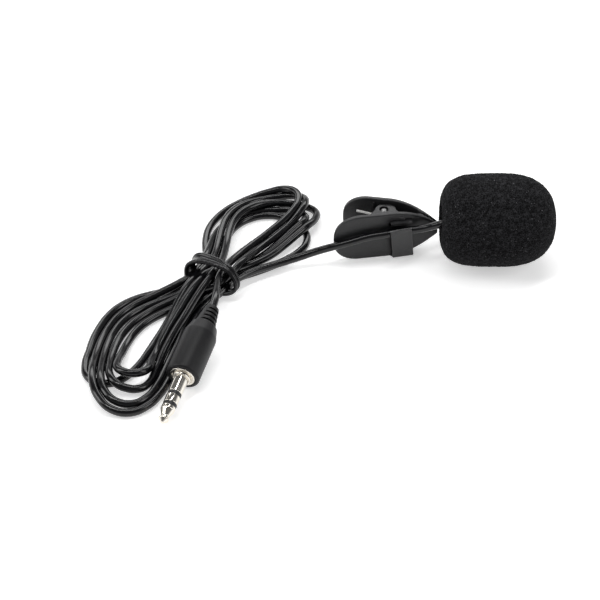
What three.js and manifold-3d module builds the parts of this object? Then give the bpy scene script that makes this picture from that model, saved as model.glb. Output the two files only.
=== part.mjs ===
// Clip-on lapel microphone: foam windscreen over an electret head, a sprung leaf clip lying on its
// edge, and a thin lead folded into a tied hank that ends in a three-contact mini plug.
// Millimetres, +Z up, +X along the microphone towards the dome of its windscreen.
import * as THREE from 'three';
import { mergeVertices } from 'three/addons/utils/BufferGeometryUtils.js';
import Module from 'manifold-3d';

const wasm = await Module();
wasm.setup();

// ---------------------------------------------------------------- driving dimensions
const FIT = 0.3; // gap kept between touching pieces
const ROUND_SIDES = 32;
const SMALL_SIDES = 20;

// windscreen
const FOAM_RADIUS = 11.85;
const FOAM_WIDEST_X = 14.2; // where its girth is greatest
const FOAM_REAR = 15.6; // from the widest place to the flattish rear end
const FOAM_FRONT = 14.2; // from the widest place to the dome
const FOAM_REAR_POWER = 3.4; // squareness of the rear half's outline
const FOAM_FRONT_POWER = 2.5;
const FOAM_WALL_AHEAD = 6.2; // foam left in front of the bore
const FOAM_STEPS = 9;

// microphone head
const HEAD_LENGTH = 16.5;
const HEAD_RADIUS = 4.3;
const HEAD_WALL = 0.8;
const HEAD_REAR_WALL = 1.2;
const GRILLE_LENGTH = 2.6;
const GRILLE_FACE = 0.8;
const GRILLE_HOLE = 0.45;
const GRILLE_RING = 1.9;
const GRILLE_HOLES = 6;
const FELT_THICKNESS = 0.5;
const CAPSULE_RADIUS = 2.9;
const CAPSULE_LENGTH = 5.4;
const CAPSULE_WALL = 0.35;
const CAPSULE_PORT = 0.9;
const DIAPHRAGM_THICKNESS = 0.5;
const BACKPLATE_THICKNESS = 0.5;
const CARRIER_LENGTH = 1.7;
const CARRIER_WALL = 0.6;
const BOARD_THICKNESS = 0.6;
const BOOT_LENGTH = 2.6; // rubber boot where the lead leaves the head
const BOOT_FLANGE = 1.0;
const BOOT_NECK_RADIUS = 1.9;
const BOOT_TAIL_RADIUS = 1.7;

// lead
const CORD_RADIUS = 1.0;
const CORD_SIDES = 8;
const HANK_EXIT = 3; // straight run of the lead where it leaves the hank
const BOOT_ENTRY = 2.5; // straight run behind the boot
const PLUG_ENTRY = 2.2; // straight runs at both ends of the plug's lead

// clip
const CLIP_WIDTH = 13.5; // height of the clip as it lies on its edge
const CLIP_Y = 3.9; // middle plane between the jaws
const PIVOT_X = -15.4;
const JAW_WALL = 1.25;
const NOSE_X = 14.1; // from the pivot to the nose
const NOSE_HALF_WIDTH = 1.5;
const FRONT_TAIL = 13.0; // from the pivot to the end of each tail
const REAR_TAIL = 10.4;
const TAIL_SPREAD = 5.4; // from the middle plane to the outer face at the tail
const PIVOT_SPREAD = 4.05; // the same beside the pivot
const GRIP_LENGTH = 4.6; // closed grip behind the nose
const GRIP_TEETH = 4;
const TOOTH_DEPTH = 0.35;
const EAR_THICKNESS = 1.5;
const EAR_RADIUS = 2.4;
const EAR_INSET = 0.4; // from the jaw's edge to the outer ears
const PIN_RADIUS = 1.0;
const SPRING_WIRE = 0.3; // radius of the wire
const SPRING_RADIUS = 1.9; // to the middle of the wire
const SPRING_TURNS = 4;
const SPRING_PITCH = 1.0;
const SPRING_LEG = 6.4; // reach of each leg towards the tails

// cable retainer, a strip bent round the front jaw
const RETAINER_WIDTH = 5.4;
const RETAINER_X = 4.3; // from the pivot to its middle
const RETAINER_SHEET = 0.7;
const RETAINER_PANEL_TOP = 10.3;
const RETAINER_FOOT_GAP = 0.7; // the panel leans in to this at its foot
const RETAINER_BAR_BOTTOM = 10.6;

// hank
const HANK_X = -59.0;
const HANK_Y = -12.4;
const HANK_ANGLE = THREE.MathUtils.degToRad(63);
const HANK_STEP = 2.8; // between the middles of neighbouring runs
const HANK_LAYER = 2.46; // between the middles of the layers
const HANK_RINGS = 3; // loops side by side in one layer
const HANK_FAR_REACH = 43.5; // from the waist to the middle of the outer loop's far end
const HANK_NEAR_REACH = 53.5;
const HANK_FAR_RADIUS = 13.0;
const HANK_NEAR_RADIUS = 11.4;
const HANK_FAR_BOW = -3.0; // how far each lobe swings off the straight line
const HANK_NEAR_BOW = 4.2;
const HANK_SIDES = 6;
const RUN_FAR = [1, 0.42, 0.07]; // places along a run, as shares of each lobe's straight
const RUN_NEAR = [0.06, 0.3, 0.64, 1];
const TURN_STEPS = 6;
const TIE_LIFT_REACH = 14;
const HANK_LEAD_SHARE = 0.4; // share of the first step past the waist before the lead takes over
const HANK_PLUG_SHARE = 0.4; // the same where the plug's lead takes over

// tie
const TIE_WIDTH = 3.2;
const TIE_SHEET = 0.8;
const TIE_RIDGE = 0.5;

// plug
const PLUG_X = -64.9;
const PLUG_Y = -51.0;
const PLUG_Z = 4.25;
const PLUG_HEADING = THREE.MathUtils.degToRad(-107);
const PLUG_TILT = THREE.MathUtils.degToRad(9);
const PLUG_RADIUS = 4.15;
const PLUG_LENGTH = 16.0;
const PLUG_REAR_RADIUS = 3.3;
const PLUG_SHOULDER = 3.2; // length of the taper from the rear end to full radius
const PLUG_RIM = 0.6; // rounding of the front edge
const SOCKET_DEPTH = 9.0; // how far the metal reaches back into the moulding
const TAIL_RADIUS = 2.4;
const RELIEF_LENGTH = 6.2;
const RELIEF_FRONT_RADIUS = 2.7;
const RELIEF_REAR_RADIUS = 1.75;
const RELIEF_SLOTS = 4;
const RELIEF_SLOT = 0.5;
const PIN_LENGTH = 14.0;
const PIN_BARREL = 1.75;
const FLANGE_RADIUS = 3.1;
const FLANGE_THICKNESS = 0.9;
const COLLAR_RADIUS = 2.3;
const COLLAR_LENGTH = 0.7;
const SLEEVE_END = 5.2;
const RING_START = 6.2;
const RING_END = 8.4;
const TIP_START = 9.4;
const TIP_NECK = 12.2;
const TIP_NECK_RADIUS = 1.05;
const TIP_BULB = 1.45;
const ROD_RADIUS = 0.45;
const SLEEVE_BORE = 1.05;

// ---------------------------------------------------------------- worked-out places
const AXIS_Z = FOAM_RADIUS;
const FOAM_REAR_X = FOAM_WIDEST_X - FOAM_REAR;
const FOAM_FRONT_X = FOAM_WIDEST_X + FOAM_FRONT;
const HEAD_FRONT_X = FOAM_FRONT_X - FOAM_WALL_AHEAD - FIT;
const HEAD_REAR_X = HEAD_FRONT_X - HEAD_LENGTH;
const CLIP_MID_Z = CLIP_WIDTH / 2;

// ---------------------------------------------------------------- solids
// One closed body from any geometry: shared corners merged, slivers dropped, faces outward.
function closed(geometry) {
  const bare = geometry.clone();
  bare.deleteAttribute('normal');
  bare.deleteAttribute('uv');
  const merged = mergeVertices(bare, 1e-4);
  const at = merged.attributes.position;
  const index = merged.index.array;
  const kept = [];
  const corner = [new THREE.Vector3(), new THREE.Vector3(), new THREE.Vector3()];
  let volume = 0;
  for (let i = 0; i < index.length; i += 3) {
    const [a, b, c] = [index[i], index[i + 1], index[i + 2]];
    if (a === b || b === c || c === a) continue;
    kept.push(a, b, c);
    [a, b, c].forEach((k, n) => corner[n].fromBufferAttribute(at, k));
    volume += corner[0].dot(corner[1].clone().cross(corner[2])) / 6;
  }
  merged.setIndex(volume < 0 ? kept.reverse() : kept);
  merged.computeVertexNormals();
  return merged;
}

function toManifold(geometry) {
  const body = closed(geometry);
  const vertProperties = new Float32Array(body.attributes.position.array);
  const triVerts = new Uint32Array(body.index.array);
  return new wasm.Manifold(new wasm.Mesh({ numProp: 3, vertProperties, triVerts }));
}

function toGeometry(manifold) {
  const mesh = manifold.getMesh();
  const geometry = new THREE.BufferGeometry();
  const points = new THREE.BufferAttribute(new Float32Array(mesh.vertProperties), 3);
  geometry.setAttribute('position', points);
  geometry.setIndex([...mesh.triVerts]);
  return closed(geometry);
}

const join = (first, ...others) => others.reduce((whole, other) => whole.add(other), first);
const cut = (first, ...others) => others.reduce((whole, other) => whole.subtract(other), first);

function box(x0, x1, y0, y1, z0, z1) {
  const geometry = new THREE.BoxGeometry(x1 - x0, y1 - y0, z1 - z0);
  return geometry.translate((x0 + x1) / 2, (y0 + y1) / 2, (z0 + z1) / 2);
}

// A body turned about X from points (x, radius) that start and end on the axis or close up.
function turned(points, sides = ROUND_SIDES) {
  const profile = points.map(([x, r]) => new THREE.Vector2(r, x));
  return closed(new THREE.LatheGeometry(profile, sides).rotateZ(-Math.PI / 2));
}

function ring(x0, x1, inner, outer, sides = ROUND_SIDES) {
  return turned([[x0, inner], [x0, outer], [x1, outer], [x1, inner], [x0, inner]], sides);
}

function disc(x0, x1, radius, sides = ROUND_SIDES) {
  return turned([[x0, 0], [x0, radius], [x1, radius], [x1, 0]], sides);
}

function upright(radius, z0, z1, sides = SMALL_SIDES) {
  const geometry = new THREE.CylinderGeometry(radius, radius, z1 - z0, sides);
  return geometry.rotateX(Math.PI / 2).translate(0, 0, (z0 + z1) / 2);
}

// An outline in X and Y raised along Z.
function raised(points, z0, z1) {
  const shape = new THREE.Shape(points.map(([x, y]) => new THREE.Vector2(x, y)));
  const options = { depth: z1 - z0, bevelEnabled: false };
  return new THREE.ExtrudeGeometry(shape, options).translate(0, 0, z0);
}

// A closed tube through a list of points, with each section square to the path.
function tube(path, radius, sides) {
  const count = path.length;
  const vertices = [];
  const faces = [];
  let side = null;
  path.forEach((point, i) => {
    const before = path[Math.max(i - 1, 0)];
    const after = path[Math.min(i + 1, count - 1)];
    const along = after.clone().sub(before).normalize();
    side = side ?? new THREE.Vector3(0, 0, 1).cross(along).normalize();
    side = side.clone().addScaledVector(along, -side.dot(along)).normalize();
    const up = along.clone().cross(side);
    for (let k = 0; k < sides; k += 1) {
      const angle = (2 * Math.PI * k) / sides;
      const rim = point.clone();
      rim.addScaledVector(side, radius * Math.cos(angle));
      rim.addScaledVector(up, radius * Math.sin(angle));
      vertices.push(rim.x, rim.y, rim.z);
    }
  });
  for (let i = 0; i < count - 1; i += 1) {
    for (let k = 0; k < sides; k += 1) {
      const a = i * sides + k;
      const b = i * sides + ((k + 1) % sides);
      faces.push(a, b, b + sides, a, b + sides, a + sides);
    }
  }
  const last = (count - 1) * sides;
  for (let k = 1; k < sides - 1; k += 1) {
    faces.push(0, k + 1, k, last, last + k, last + k + 1);
  }
  const geometry = new THREE.BufferGeometry();
  geometry.setAttribute('position', new THREE.Float32BufferAttribute(vertices, 3));
  geometry.setIndex(faces);
  return closed(geometry);
}

// ---------------------------------------------------------------- scene helpers
function material(color, roughness, metalness = 0) {
  return new THREE.MeshStandardMaterial({ color, roughness, metalness });
}

const FOAM = material(0x222224, 1.0);
const BLACK_PLASTIC = material(0x2a2a2c, 0.55);
const BLACK_RUBBER = material(0x1e1e20, 0.7);
const BLACK_CORD = material(0x1a1a1c, 0.3);
const STEEL = material(0xd4d2cc, 0.22, 1.0);
const NICKEL = material(0xd9d4c6, 0.18, 1.0);
const BRASS = material(0xc2a15a, 0.35, 1.0);
const BOARD_GREEN = material(0x2f6b3c, 0.6);
const WHITE_PLASTIC = material(0xdad8d0, 0.5);
const FELT = material(0x141414, 1.0);

const microphone = new THREE.Group();

function place(parent, name, geometry, finish) {
  const mesh = new THREE.Mesh(geometry, finish);
  mesh.name = name;
  parent.add(mesh);
}

// ---------------------------------------------------------------- windscreen and head
const head = new THREE.Group();
head.position.set(0, 0, AXIS_Z);
microphone.add(head);

const HEAD_INSIDE = HEAD_RADIUS - HEAD_WALL;

function foamOutline() {
  const points = [];
  const step = Math.PI / 2 / FOAM_STEPS;
  for (let i = 0; i <= 2 * FOAM_STEPS; i += 1) {
    const angle = i * step;
    const rear = i < FOAM_STEPS;
    const power = 2 / (rear ? FOAM_REAR_POWER : FOAM_FRONT_POWER);
    const reach = rear ? FOAM_REAR : FOAM_FRONT;
    const x = FOAM_WIDEST_X - Math.sign(Math.cos(angle)) * reach * Math.abs(Math.cos(angle)) ** power;
    const radius = FOAM_RADIUS * Math.abs(Math.sin(angle)) ** power;
    points.push([x, radius]);
  }
  points[2 * FOAM_STEPS] = [FOAM_FRONT_X, 0];
  return points;
}

function makeWindscreen() {
  const body = toManifold(turned(foamOutline(), 40));
  const bore = disc(FOAM_REAR_X - 1, HEAD_FRONT_X + FIT, HEAD_RADIUS + FIT);
  place(head, 'foam_windscreen', toGeometry(cut(body, toManifold(bore))), FOAM);
}

function makeHousing() {
  const rearBore = BOOT_NECK_RADIUS + FIT;
  const shell = turned([
    [HEAD_REAR_X, rearBore],
    [HEAD_REAR_X, HEAD_RADIUS - 0.4],
    [HEAD_REAR_X + 0.4, HEAD_RADIUS],
    [HEAD_FRONT_X - GRILLE_LENGTH, HEAD_RADIUS],
    [HEAD_FRONT_X - GRILLE_LENGTH, HEAD_INSIDE],
    [HEAD_REAR_X + HEAD_REAR_WALL, HEAD_INSIDE],
    [HEAD_REAR_X + HEAD_REAR_WALL, rearBore],
    [HEAD_REAR_X, rearBore],
  ]);
  place(head, 'mic_housing', shell, BLACK_PLASTIC);
}

function makeGrille() {
  const rear = HEAD_FRONT_X - GRILLE_LENGTH + FIT;
  const cap = toManifold(turned([
    [rear, HEAD_INSIDE],
    [rear, HEAD_RADIUS],
    [HEAD_FRONT_X - 0.4, HEAD_RADIUS],
    [HEAD_FRONT_X, HEAD_RADIUS - 0.4],
    [HEAD_FRONT_X, 0],
    [HEAD_FRONT_X - GRILLE_FACE, 0],
    [HEAD_FRONT_X - GRILLE_FACE, HEAD_INSIDE],
    [rear, HEAD_INSIDE],
  ]));
  const holes = [];
  for (let i = 0; i <= GRILLE_HOLES; i += 1) {
    const angle = (2 * Math.PI * i) / GRILLE_HOLES;
    const out = i < GRILLE_HOLES ? GRILLE_RING : 0;
    const hole = disc(HEAD_FRONT_X - GRILLE_LENGTH, HEAD_FRONT_X + 1, GRILLE_HOLE, 10);
    hole.translate(0, out * Math.cos(angle), out * Math.sin(angle));
    holes.push(toManifold(hole));
  }
  place(head, 'front_grille', toGeometry(cut(cap, ...holes)), BLACK_PLASTIC);
}

// The stack behind the grille, from front to rear: felt, capsule can with its film, backplate,
// carrier and circuit board, all held by a rubber sleeve.
function makeCapsule() {
  const feltFront = HEAD_FRONT_X - GRILLE_FACE - FIT;
  const canFront = feltFront - FELT_THICKNESS - FIT;
  const canRear = canFront - CAPSULE_LENGTH;
  const inside = CAPSULE_RADIUS - CAPSULE_WALL;
  const stackRadius = inside - FIT;
  place(head, 'dust_felt', disc(canFront + FIT, feltFront, HEAD_INSIDE - FIT), FELT);
  place(head, 'capsule_can', turned([
    [canRear, inside],
    [canRear, CAPSULE_RADIUS],
    [canFront, CAPSULE_RADIUS],
    [canFront, CAPSULE_PORT],
    [canFront - CAPSULE_WALL, CAPSULE_PORT],
    [canFront - CAPSULE_WALL, inside],
    [canRear, inside],
  ]), STEEL);
  let front = canFront - CAPSULE_WALL - FIT;
  place(head, 'diaphragm_ring', disc(front - DIAPHRAGM_THICKNESS, front, stackRadius), BRASS);
  front -= DIAPHRAGM_THICKNESS + FIT;
  place(head, 'backplate', disc(front - BACKPLATE_THICKNESS, front, stackRadius), BRASS);
  front -= BACKPLATE_THICKNESS + FIT;
  place(head, 'capsule_carrier', turned([
    [front - CARRIER_LENGTH, stackRadius - CARRIER_WALL],
    [front - CARRIER_LENGTH, stackRadius],
    [front, stackRadius],
    [front, 0],
    [front - CARRIER_WALL, 0],
    [front - CARRIER_WALL, stackRadius - CARRIER_WALL],
    [front - CARRIER_LENGTH, stackRadius - CARRIER_WALL],
  ]), WHITE_PLASTIC);
  front -= CARRIER_LENGTH + FIT;
  place(head, 'amplifier_board', disc(front - BOARD_THICKNESS, front, stackRadius), BOARD_GREEN);
  const sleeveRear = canRear;
  const sleeveFront = HEAD_FRONT_X - GRILLE_LENGTH;
  const sleeve = ring(sleeveRear, sleeveFront, CAPSULE_RADIUS + FIT / 2, HEAD_INSIDE - FIT / 2);
  place(head, 'capsule_sleeve', sleeve, BLACK_RUBBER);
}

const BOOT_REAR_X = HEAD_REAR_X - BOOT_LENGTH;

function makeBoot() {
  const flangeRear = HEAD_REAR_X + HEAD_REAR_WALL + FIT;
  place(head, 'mic_strain_relief', turned([
    [BOOT_REAR_X, 0],
    [BOOT_REAR_X, BOOT_TAIL_RADIUS],
    [HEAD_REAR_X, BOOT_NECK_RADIUS],
    [flangeRear, BOOT_NECK_RADIUS],
    [flangeRear, HEAD_INSIDE - FIT],
    [flangeRear + BOOT_FLANGE, HEAD_INSIDE - FIT],
    [flangeRear + BOOT_FLANGE, 0],
  ]), BLACK_RUBBER);
}

makeWindscreen();
makeHousing();
makeGrille();
makeCapsule();
makeBoot();

// ---------------------------------------------------------------- clip
const clip = new THREE.Group();
clip.position.set(PIVOT_X, CLIP_Y, 0);
microphone.add(clip);

// Distance of a jaw's outer face from the middle plane: straight along the tail, then drawn in
// evenly from beside the pivot to the nose.
function outerFace(x) {
  const noseSpread = JAW_WALL * 0.55;
  if (x < 0) return PIVOT_SPREAD + (TAIL_SPREAD - PIVOT_SPREAD) * (-x / FRONT_TAIL);
  const drawn = (x / NOSE_X) ** 1.15;
  return PIVOT_SPREAD + (noseSpread - PIVOT_SPREAD) * drawn;
}

// Height of the jaw above and below its middle line.
function leafHalfWidth(x, tail) {
  const half = CLIP_WIDTH / 2;
  if (x < -tail + half) {
    const run = (x + tail) / half;
    return half * Math.sqrt(Math.max(0, 1 - (1 - run) ** 2)) ** 0.8;
  }
  const narrowing = Math.max(0, (x - 2) / (NOSE_X - 2));
  return half - (half - NOSE_HALF_WIDTH) * narrowing ** 1.9;
}

// Points along a jaw from tail to nose, closer together at the round tail.
function jawStations(tail) {
  const stations = [0, 0.35, 1.1, 2.2, 3.8, 6.0].map((step) => -tail + step);
  for (let x = -4; x < NOSE_X - 0.5; x += 2) stations.push(x);
  stations.push(NOSE_X);
  return stations;
}

// A leaf plate on the side of the middle plane where `side` is -1 or 1.
function jawPlate(side, tail) {
  const stations = jawStations(tail);
  const outer = stations.map((x) => [x, side * outerFace(x)]);
  const closedFrom = NOSE_X - GRIP_LENGTH;
  const inner = stations.map((x) => {
    const wall = outerFace(x) - JAW_WALL;
    const atGrip = x >= closedFrom;
    return [x, side * (atGrip ? FIT / 2 : Math.max(wall, FIT / 2))];
  });
  const plan = raised([...outer, ...inner.reverse()], 0, CLIP_WIDTH);
  const rims = [];
  stations.forEach((x) => rims.push([x, CLIP_MID_Z + leafHalfWidth(x, tail)]));
  [...stations].reverse().forEach((x) => rims.push([x, CLIP_MID_Z - leafHalfWidth(x, tail)]));
  const leaf = raised(rims, -TAIL_SPREAD * 2, TAIL_SPREAD * 2).rotateX(Math.PI / 2);
  return toManifold(plan).intersect(toManifold(leaf));
}

// Shallow grooves across the inside of the nose.
function teeth(side) {
  const pitch = GRIP_LENGTH / (GRIP_TEETH + 1);
  const cuts = [];
  for (let i = 1; i <= GRIP_TEETH; i += 1) {
    const x = NOSE_X - GRIP_LENGTH + i * pitch;
    const tip = side * (FIT / 2 + TOOTH_DEPTH);
    const root = side * (FIT / 2 - TOOTH_DEPTH);
    const groove = [[x - pitch / 2.6, root], [x, tip], [x + pitch / 2.6, root]];
    cuts.push(toManifold(raised(side > 0 ? groove : groove.reverse(), -1, CLIP_WIDTH + 1)));
  }
  return cuts;
}

// A pair of ears that reach from a jaw to the pivot, with a hole for the pin.
function ears(side, inset) {
  const base = side * (outerFace(0) - JAW_WALL / 2);
  const lobe = [];
  for (let i = 0; i <= 10; i += 1) {
    const angle = (Math.PI * i) / 10;
    lobe.push([EAR_RADIUS * Math.cos(angle), -side * EAR_RADIUS * Math.sin(angle)]);
  }
  const outline = [...lobe, [-EAR_RADIUS, base], [EAR_RADIUS, base]];
  const plates = [];
  [inset, CLIP_WIDTH - inset - EAR_THICKNESS].forEach((z) => {
    const plate = toManifold(raised(outline, z, z + EAR_THICKNESS));
    const hole = toManifold(upright(PIN_RADIUS + FIT, z - 1, z + EAR_THICKNESS + 1));
    plates.push(cut(plate, hole));
  });
  return plates;
}

const INNER_EAR_INSET = EAR_INSET + EAR_THICKNESS + FIT;

// The retainer's own frame sits on the front jaw's outer face, with X along that face.
const RETAINER_SLOPE = Math.atan2(
  outerFace(RETAINER_X - RETAINER_WIDTH / 2) - outerFace(RETAINER_X + RETAINER_WIDTH / 2),
  RETAINER_WIDTH,
);
const RETAINER_FACE_Y = -outerFace(RETAINER_X);
const PANEL_GAP = 2 * CORD_RADIUS + 3 * FIT;
const RETAINER_BOTTOM = RETAINER_SHEET + FIT;
const BAR_TOP = RETAINER_BAR_BOTTOM + RETAINER_SHEET;

function onJawFace(geometry) {
  return geometry.rotateZ(RETAINER_SLOPE).translate(RETAINER_X, RETAINER_FACE_Y, 0);
}

function makeJaws() {
  const half = RETAINER_WIDTH / 2 + FIT;
  const deep = JAW_WALL * 3;
  const slotSize = [RETAINER_BAR_BOTTOM - FIT, BAR_TOP + FIT];
  const slot = toManifold(onJawFace(box(-half, half, -deep, deep, ...slotSize)));
  const notch = toManifold(onJawFace(box(-half, half, -deep, deep, -1, RETAINER_BOTTOM)));
  let front = join(jawPlate(-1, FRONT_TAIL), ...ears(-1, EAR_INSET));
  front = cut(front, ...teeth(-1), slot, notch);
  place(clip, 'front_jaw', toGeometry(front), BLACK_PLASTIC);
  let rear = join(jawPlate(1, REAR_TAIL), ...ears(1, INNER_EAR_INSET));
  rear = cut(rear, ...teeth(1));
  place(clip, 'rear_jaw', toGeometry(rear), BLACK_PLASTIC);
}

// The strip leans down over the lead, runs under the jaw's edge, up its inside and out of the slot.
function makeRetainer() {
  const half = RETAINER_WIDTH / 2;
  const inside = JAW_WALL + FIT;
  const back = inside + RETAINER_SHEET * 0.8;
  const section = [
    [-PANEL_GAP - RETAINER_SHEET, RETAINER_PANEL_TOP],
    [-RETAINER_FOOT_GAP - RETAINER_SHEET, RETAINER_SHEET],
    [-RETAINER_FOOT_GAP, 0],
    [back, 0],
    [back, BAR_TOP],
    [-PANEL_GAP + FIT, BAR_TOP],
    [-PANEL_GAP + FIT, RETAINER_BAR_BOTTOM],
    [inside, RETAINER_BAR_BOTTOM],
    [inside, RETAINER_SHEET],
    [-RETAINER_FOOT_GAP, RETAINER_SHEET],
    [-PANEL_GAP, RETAINER_PANEL_TOP],
  ];
  const strip = raised(section, -half, half).rotateX(Math.PI / 2).rotateZ(Math.PI / 2);
  const besideEar = EAR_RADIUS + FIT - RETAINER_X + back * Math.sin(RETAINER_SLOPE);
  const relief = box(-half - 1, besideEar, JAW_WALL - FIT, back + 1, -1, BAR_TOP + 1);
  const bent = cut(toManifold(onJawFace(strip)), toManifold(onJawFace(relief)));
  place(clip, 'cable_retainer', toGeometry(bent), BLACK_PLASTIC);
}

function makePin() {
  const inset = EAR_INSET / 2;
  const pin = upright(PIN_RADIUS, inset, CLIP_WIDTH - inset);
  place(clip, 'pivot_pin', closed(pin), STEEL);
}

// The coil and its two legs are one wire; the legs press the two tails apart.
function makeSpring() {
  const coilHeight = SPRING_TURNS * SPRING_PITCH;
  const bottom = CLIP_MID_Z - coilHeight / 2;
  const steps = 8 * SPRING_TURNS;
  const legAngle = THREE.MathUtils.degToRad(72);
  const path = [];
  const wire = (x, y, z) => path.push(new THREE.Vector3(x, y, z));
  const legTip = outerFace(-SPRING_LEG) - JAW_WALL - FIT - SPRING_WIRE;
  wire(-SPRING_LEG, -legTip, bottom);
  wire(-SPRING_LEG + 2 * SPRING_WIRE, -legTip + 0.15, bottom);
  for (let i = 0; i <= steps; i += 1) {
    const angle = -legAngle - (i / steps) * (2 * Math.PI * SPRING_TURNS - 2 * legAngle);
    const x = SPRING_RADIUS * Math.cos(angle);
    const y = SPRING_RADIUS * Math.sin(angle);
    wire(x, y, bottom + (coilHeight * i) / steps);
  }
  wire(-SPRING_LEG + 2 * SPRING_WIRE, legTip - 0.15, bottom + coilHeight);
  wire(-SPRING_LEG, legTip, bottom + coilHeight);
  place(clip, 'torsion_spring', tube(path, SPRING_WIRE, 5), STEEL);
}

makeJaws();
makeRetainer();
makePin();
makeSpring();

// ---------------------------------------------------------------- hank
const WAIST_HALF = (HANK_RINGS - 0.5) * HANK_STEP;

function smooth(x) {
  const t = Math.min(Math.max(x, 0), 1);
  return t * t * (3 - 2 * t);
}

// In the hank's own plane, u runs from its near end (below zero) to its far end and v across it.
function lobe(u) {
  return u > 0
    ? { reach: HANK_FAR_REACH, radius: HANK_FAR_RADIUS, bow: HANK_FAR_BOW }
    : { reach: HANK_NEAR_REACH, radius: HANK_NEAR_RADIUS, bow: HANK_NEAR_BOW };
}

// Distance of the outer loop's runs from the middle line, drawn in at the waist.
function runHalfWidth(u) {
  const { reach, radius } = lobe(u);
  return WAIST_HALF + (radius - WAIST_HALF) * smooth(Math.abs(u) / (reach - radius));
}

// The hank lies on the table and rises a little where the tie passes under it.
function hankPoint(u, v, level) {
  const { reach, bow } = lobe(u);
  const swing = bow * Math.sin(Math.PI * Math.min(Math.abs(u) / reach, 1)) ** 2;
  const lift = (TIE_SHEET + FIT) * (1 - smooth(Math.abs(u) / TIE_LIFT_REACH));
  const across = v + swing;
  const x = HANK_X + u * Math.cos(HANK_ANGLE) - across * Math.sin(HANK_ANGLE);
  const y = HANK_Y + u * Math.sin(HANK_ANGLE) + across * Math.cos(HANK_ANGLE);
  return new THREE.Vector3(x, y, CORD_RADIUS + lift + level * HANK_LAYER);
}

// Runs in the order the cord takes them, each on the ring and layer where it starts: in to the
// innermost ring on the lower layer, up a layer along the last return run, and out again.
function hankRuns() {
  const runs = [];
  for (let number = 0; number < HANK_RINGS; number += 1) {
    runs.push({ ring: number, level: 0, climb: 0 });
    runs.push({ ring: number, level: 0, climb: number === HANK_RINGS - 1 ? 1 : 0 });
  }
  for (let number = HANK_RINGS - 1; number >= 0; number -= 1) {
    if (number < HANK_RINGS - 1) runs.push({ ring: number, level: 1, climb: 0 });
    runs.push({ ring: number, level: 1, climb: 0 });
  }
  return runs;
}

// Even-numbered runs go towards the near end on the -v side, odd ones return on the +v side.
function hankPath() {
  const nearTurn = HANK_NEAR_RADIUS - HANK_NEAR_REACH;
  const farTurn = HANK_FAR_REACH - HANK_FAR_RADIUS;
  const stations = [...RUN_FAR.map((share) => share * farTurn),
    ...RUN_NEAR.map((share) => share * nearTurn)];
  const path = [];
  const runs = hankRuns();
  runs.forEach((run, i) => {
    const returning = i % 2 === 1;
    const last = i === runs.length - 1;
    let us = returning ? [...stations].reverse() : stations;
    if (i === 0) us = us.slice(RUN_FAR.length - 2);
    if (last) us = us.slice(0, RUN_FAR.length + 2);
    us.forEach((u, n) => {
      const inward = run.ring * HANK_STEP;
      const v = (returning ? 1 : -1) * (runHalfWidth(u) - inward);
      path.push(hankPoint(u, v, run.level + (run.climb * n) / (us.length - 1)));
    });
    if (last) return;
    const next = runs[i + 1];
    const sign = returning ? 1 : -1;
    const centre = returning ? farTurn : nearTurn;
    const outer = returning ? HANK_FAR_RADIUS : HANK_NEAR_RADIUS;
    for (let n = 1; n < TURN_STEPS; n += 1) {
      const share = n / TURN_STEPS;
      const inward = (run.ring + (next.ring - run.ring) * share) * HANK_STEP;
      const angle = Math.PI * share;
      const u = centre + sign * (outer - inward) * Math.sin(angle);
      const v = sign * (outer - inward) * Math.cos(angle);
      path.push(hankPoint(u, v, next.level));
    }
  });
  const end = path.length - 1;
  path[0].lerpVectors(path[1], path[0], HANK_LEAD_SHARE);
  path[end].lerpVectors(path[end - 1], path[end], HANK_PLUG_SHARE);
  return path;
}

// Least distance between the middles of two stretches of the tube that aren't neighbours along
// it, less the tube's own thickness.
function leastGap(path) {
  const points = [];
  const places = [];
  let travelled = 0;
  path.forEach((point, i) => {
    if (i === 0) return;
    const from = path[i - 1];
    const length = from.distanceTo(point);
    const pieces = Math.ceil(length);
    for (let n = 0; n < pieces; n += 1) {
      points.push(from.clone().lerp(point, n / pieces));
      places.push(travelled + (length * n) / pieces);
    }
    travelled += length;
  });
  let least = Infinity;
  const apart = 8 * CORD_RADIUS;
  for (let i = 0; i < points.length; i += 1) {
    for (let j = i + 1; j < points.length; j += 1) {
      if (places[j] - places[i] < apart) continue;
      least = Math.min(least, points[i].distanceTo(points[j]));
    }
  }
  return { gap: least - 2 * CORD_RADIUS, length: travelled };
}

const hankRoute = hankPath();
const hankMeasure = leastGap(hankRoute);
console.log(`hank: least gap ${hankMeasure.gap.toFixed(2)}, length ${hankMeasure.length.toFixed(0)}`);
place(microphone, 'cord_hank', tube(hankRoute, CORD_RADIUS, HANK_SIDES), BLACK_CORD);

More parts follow.
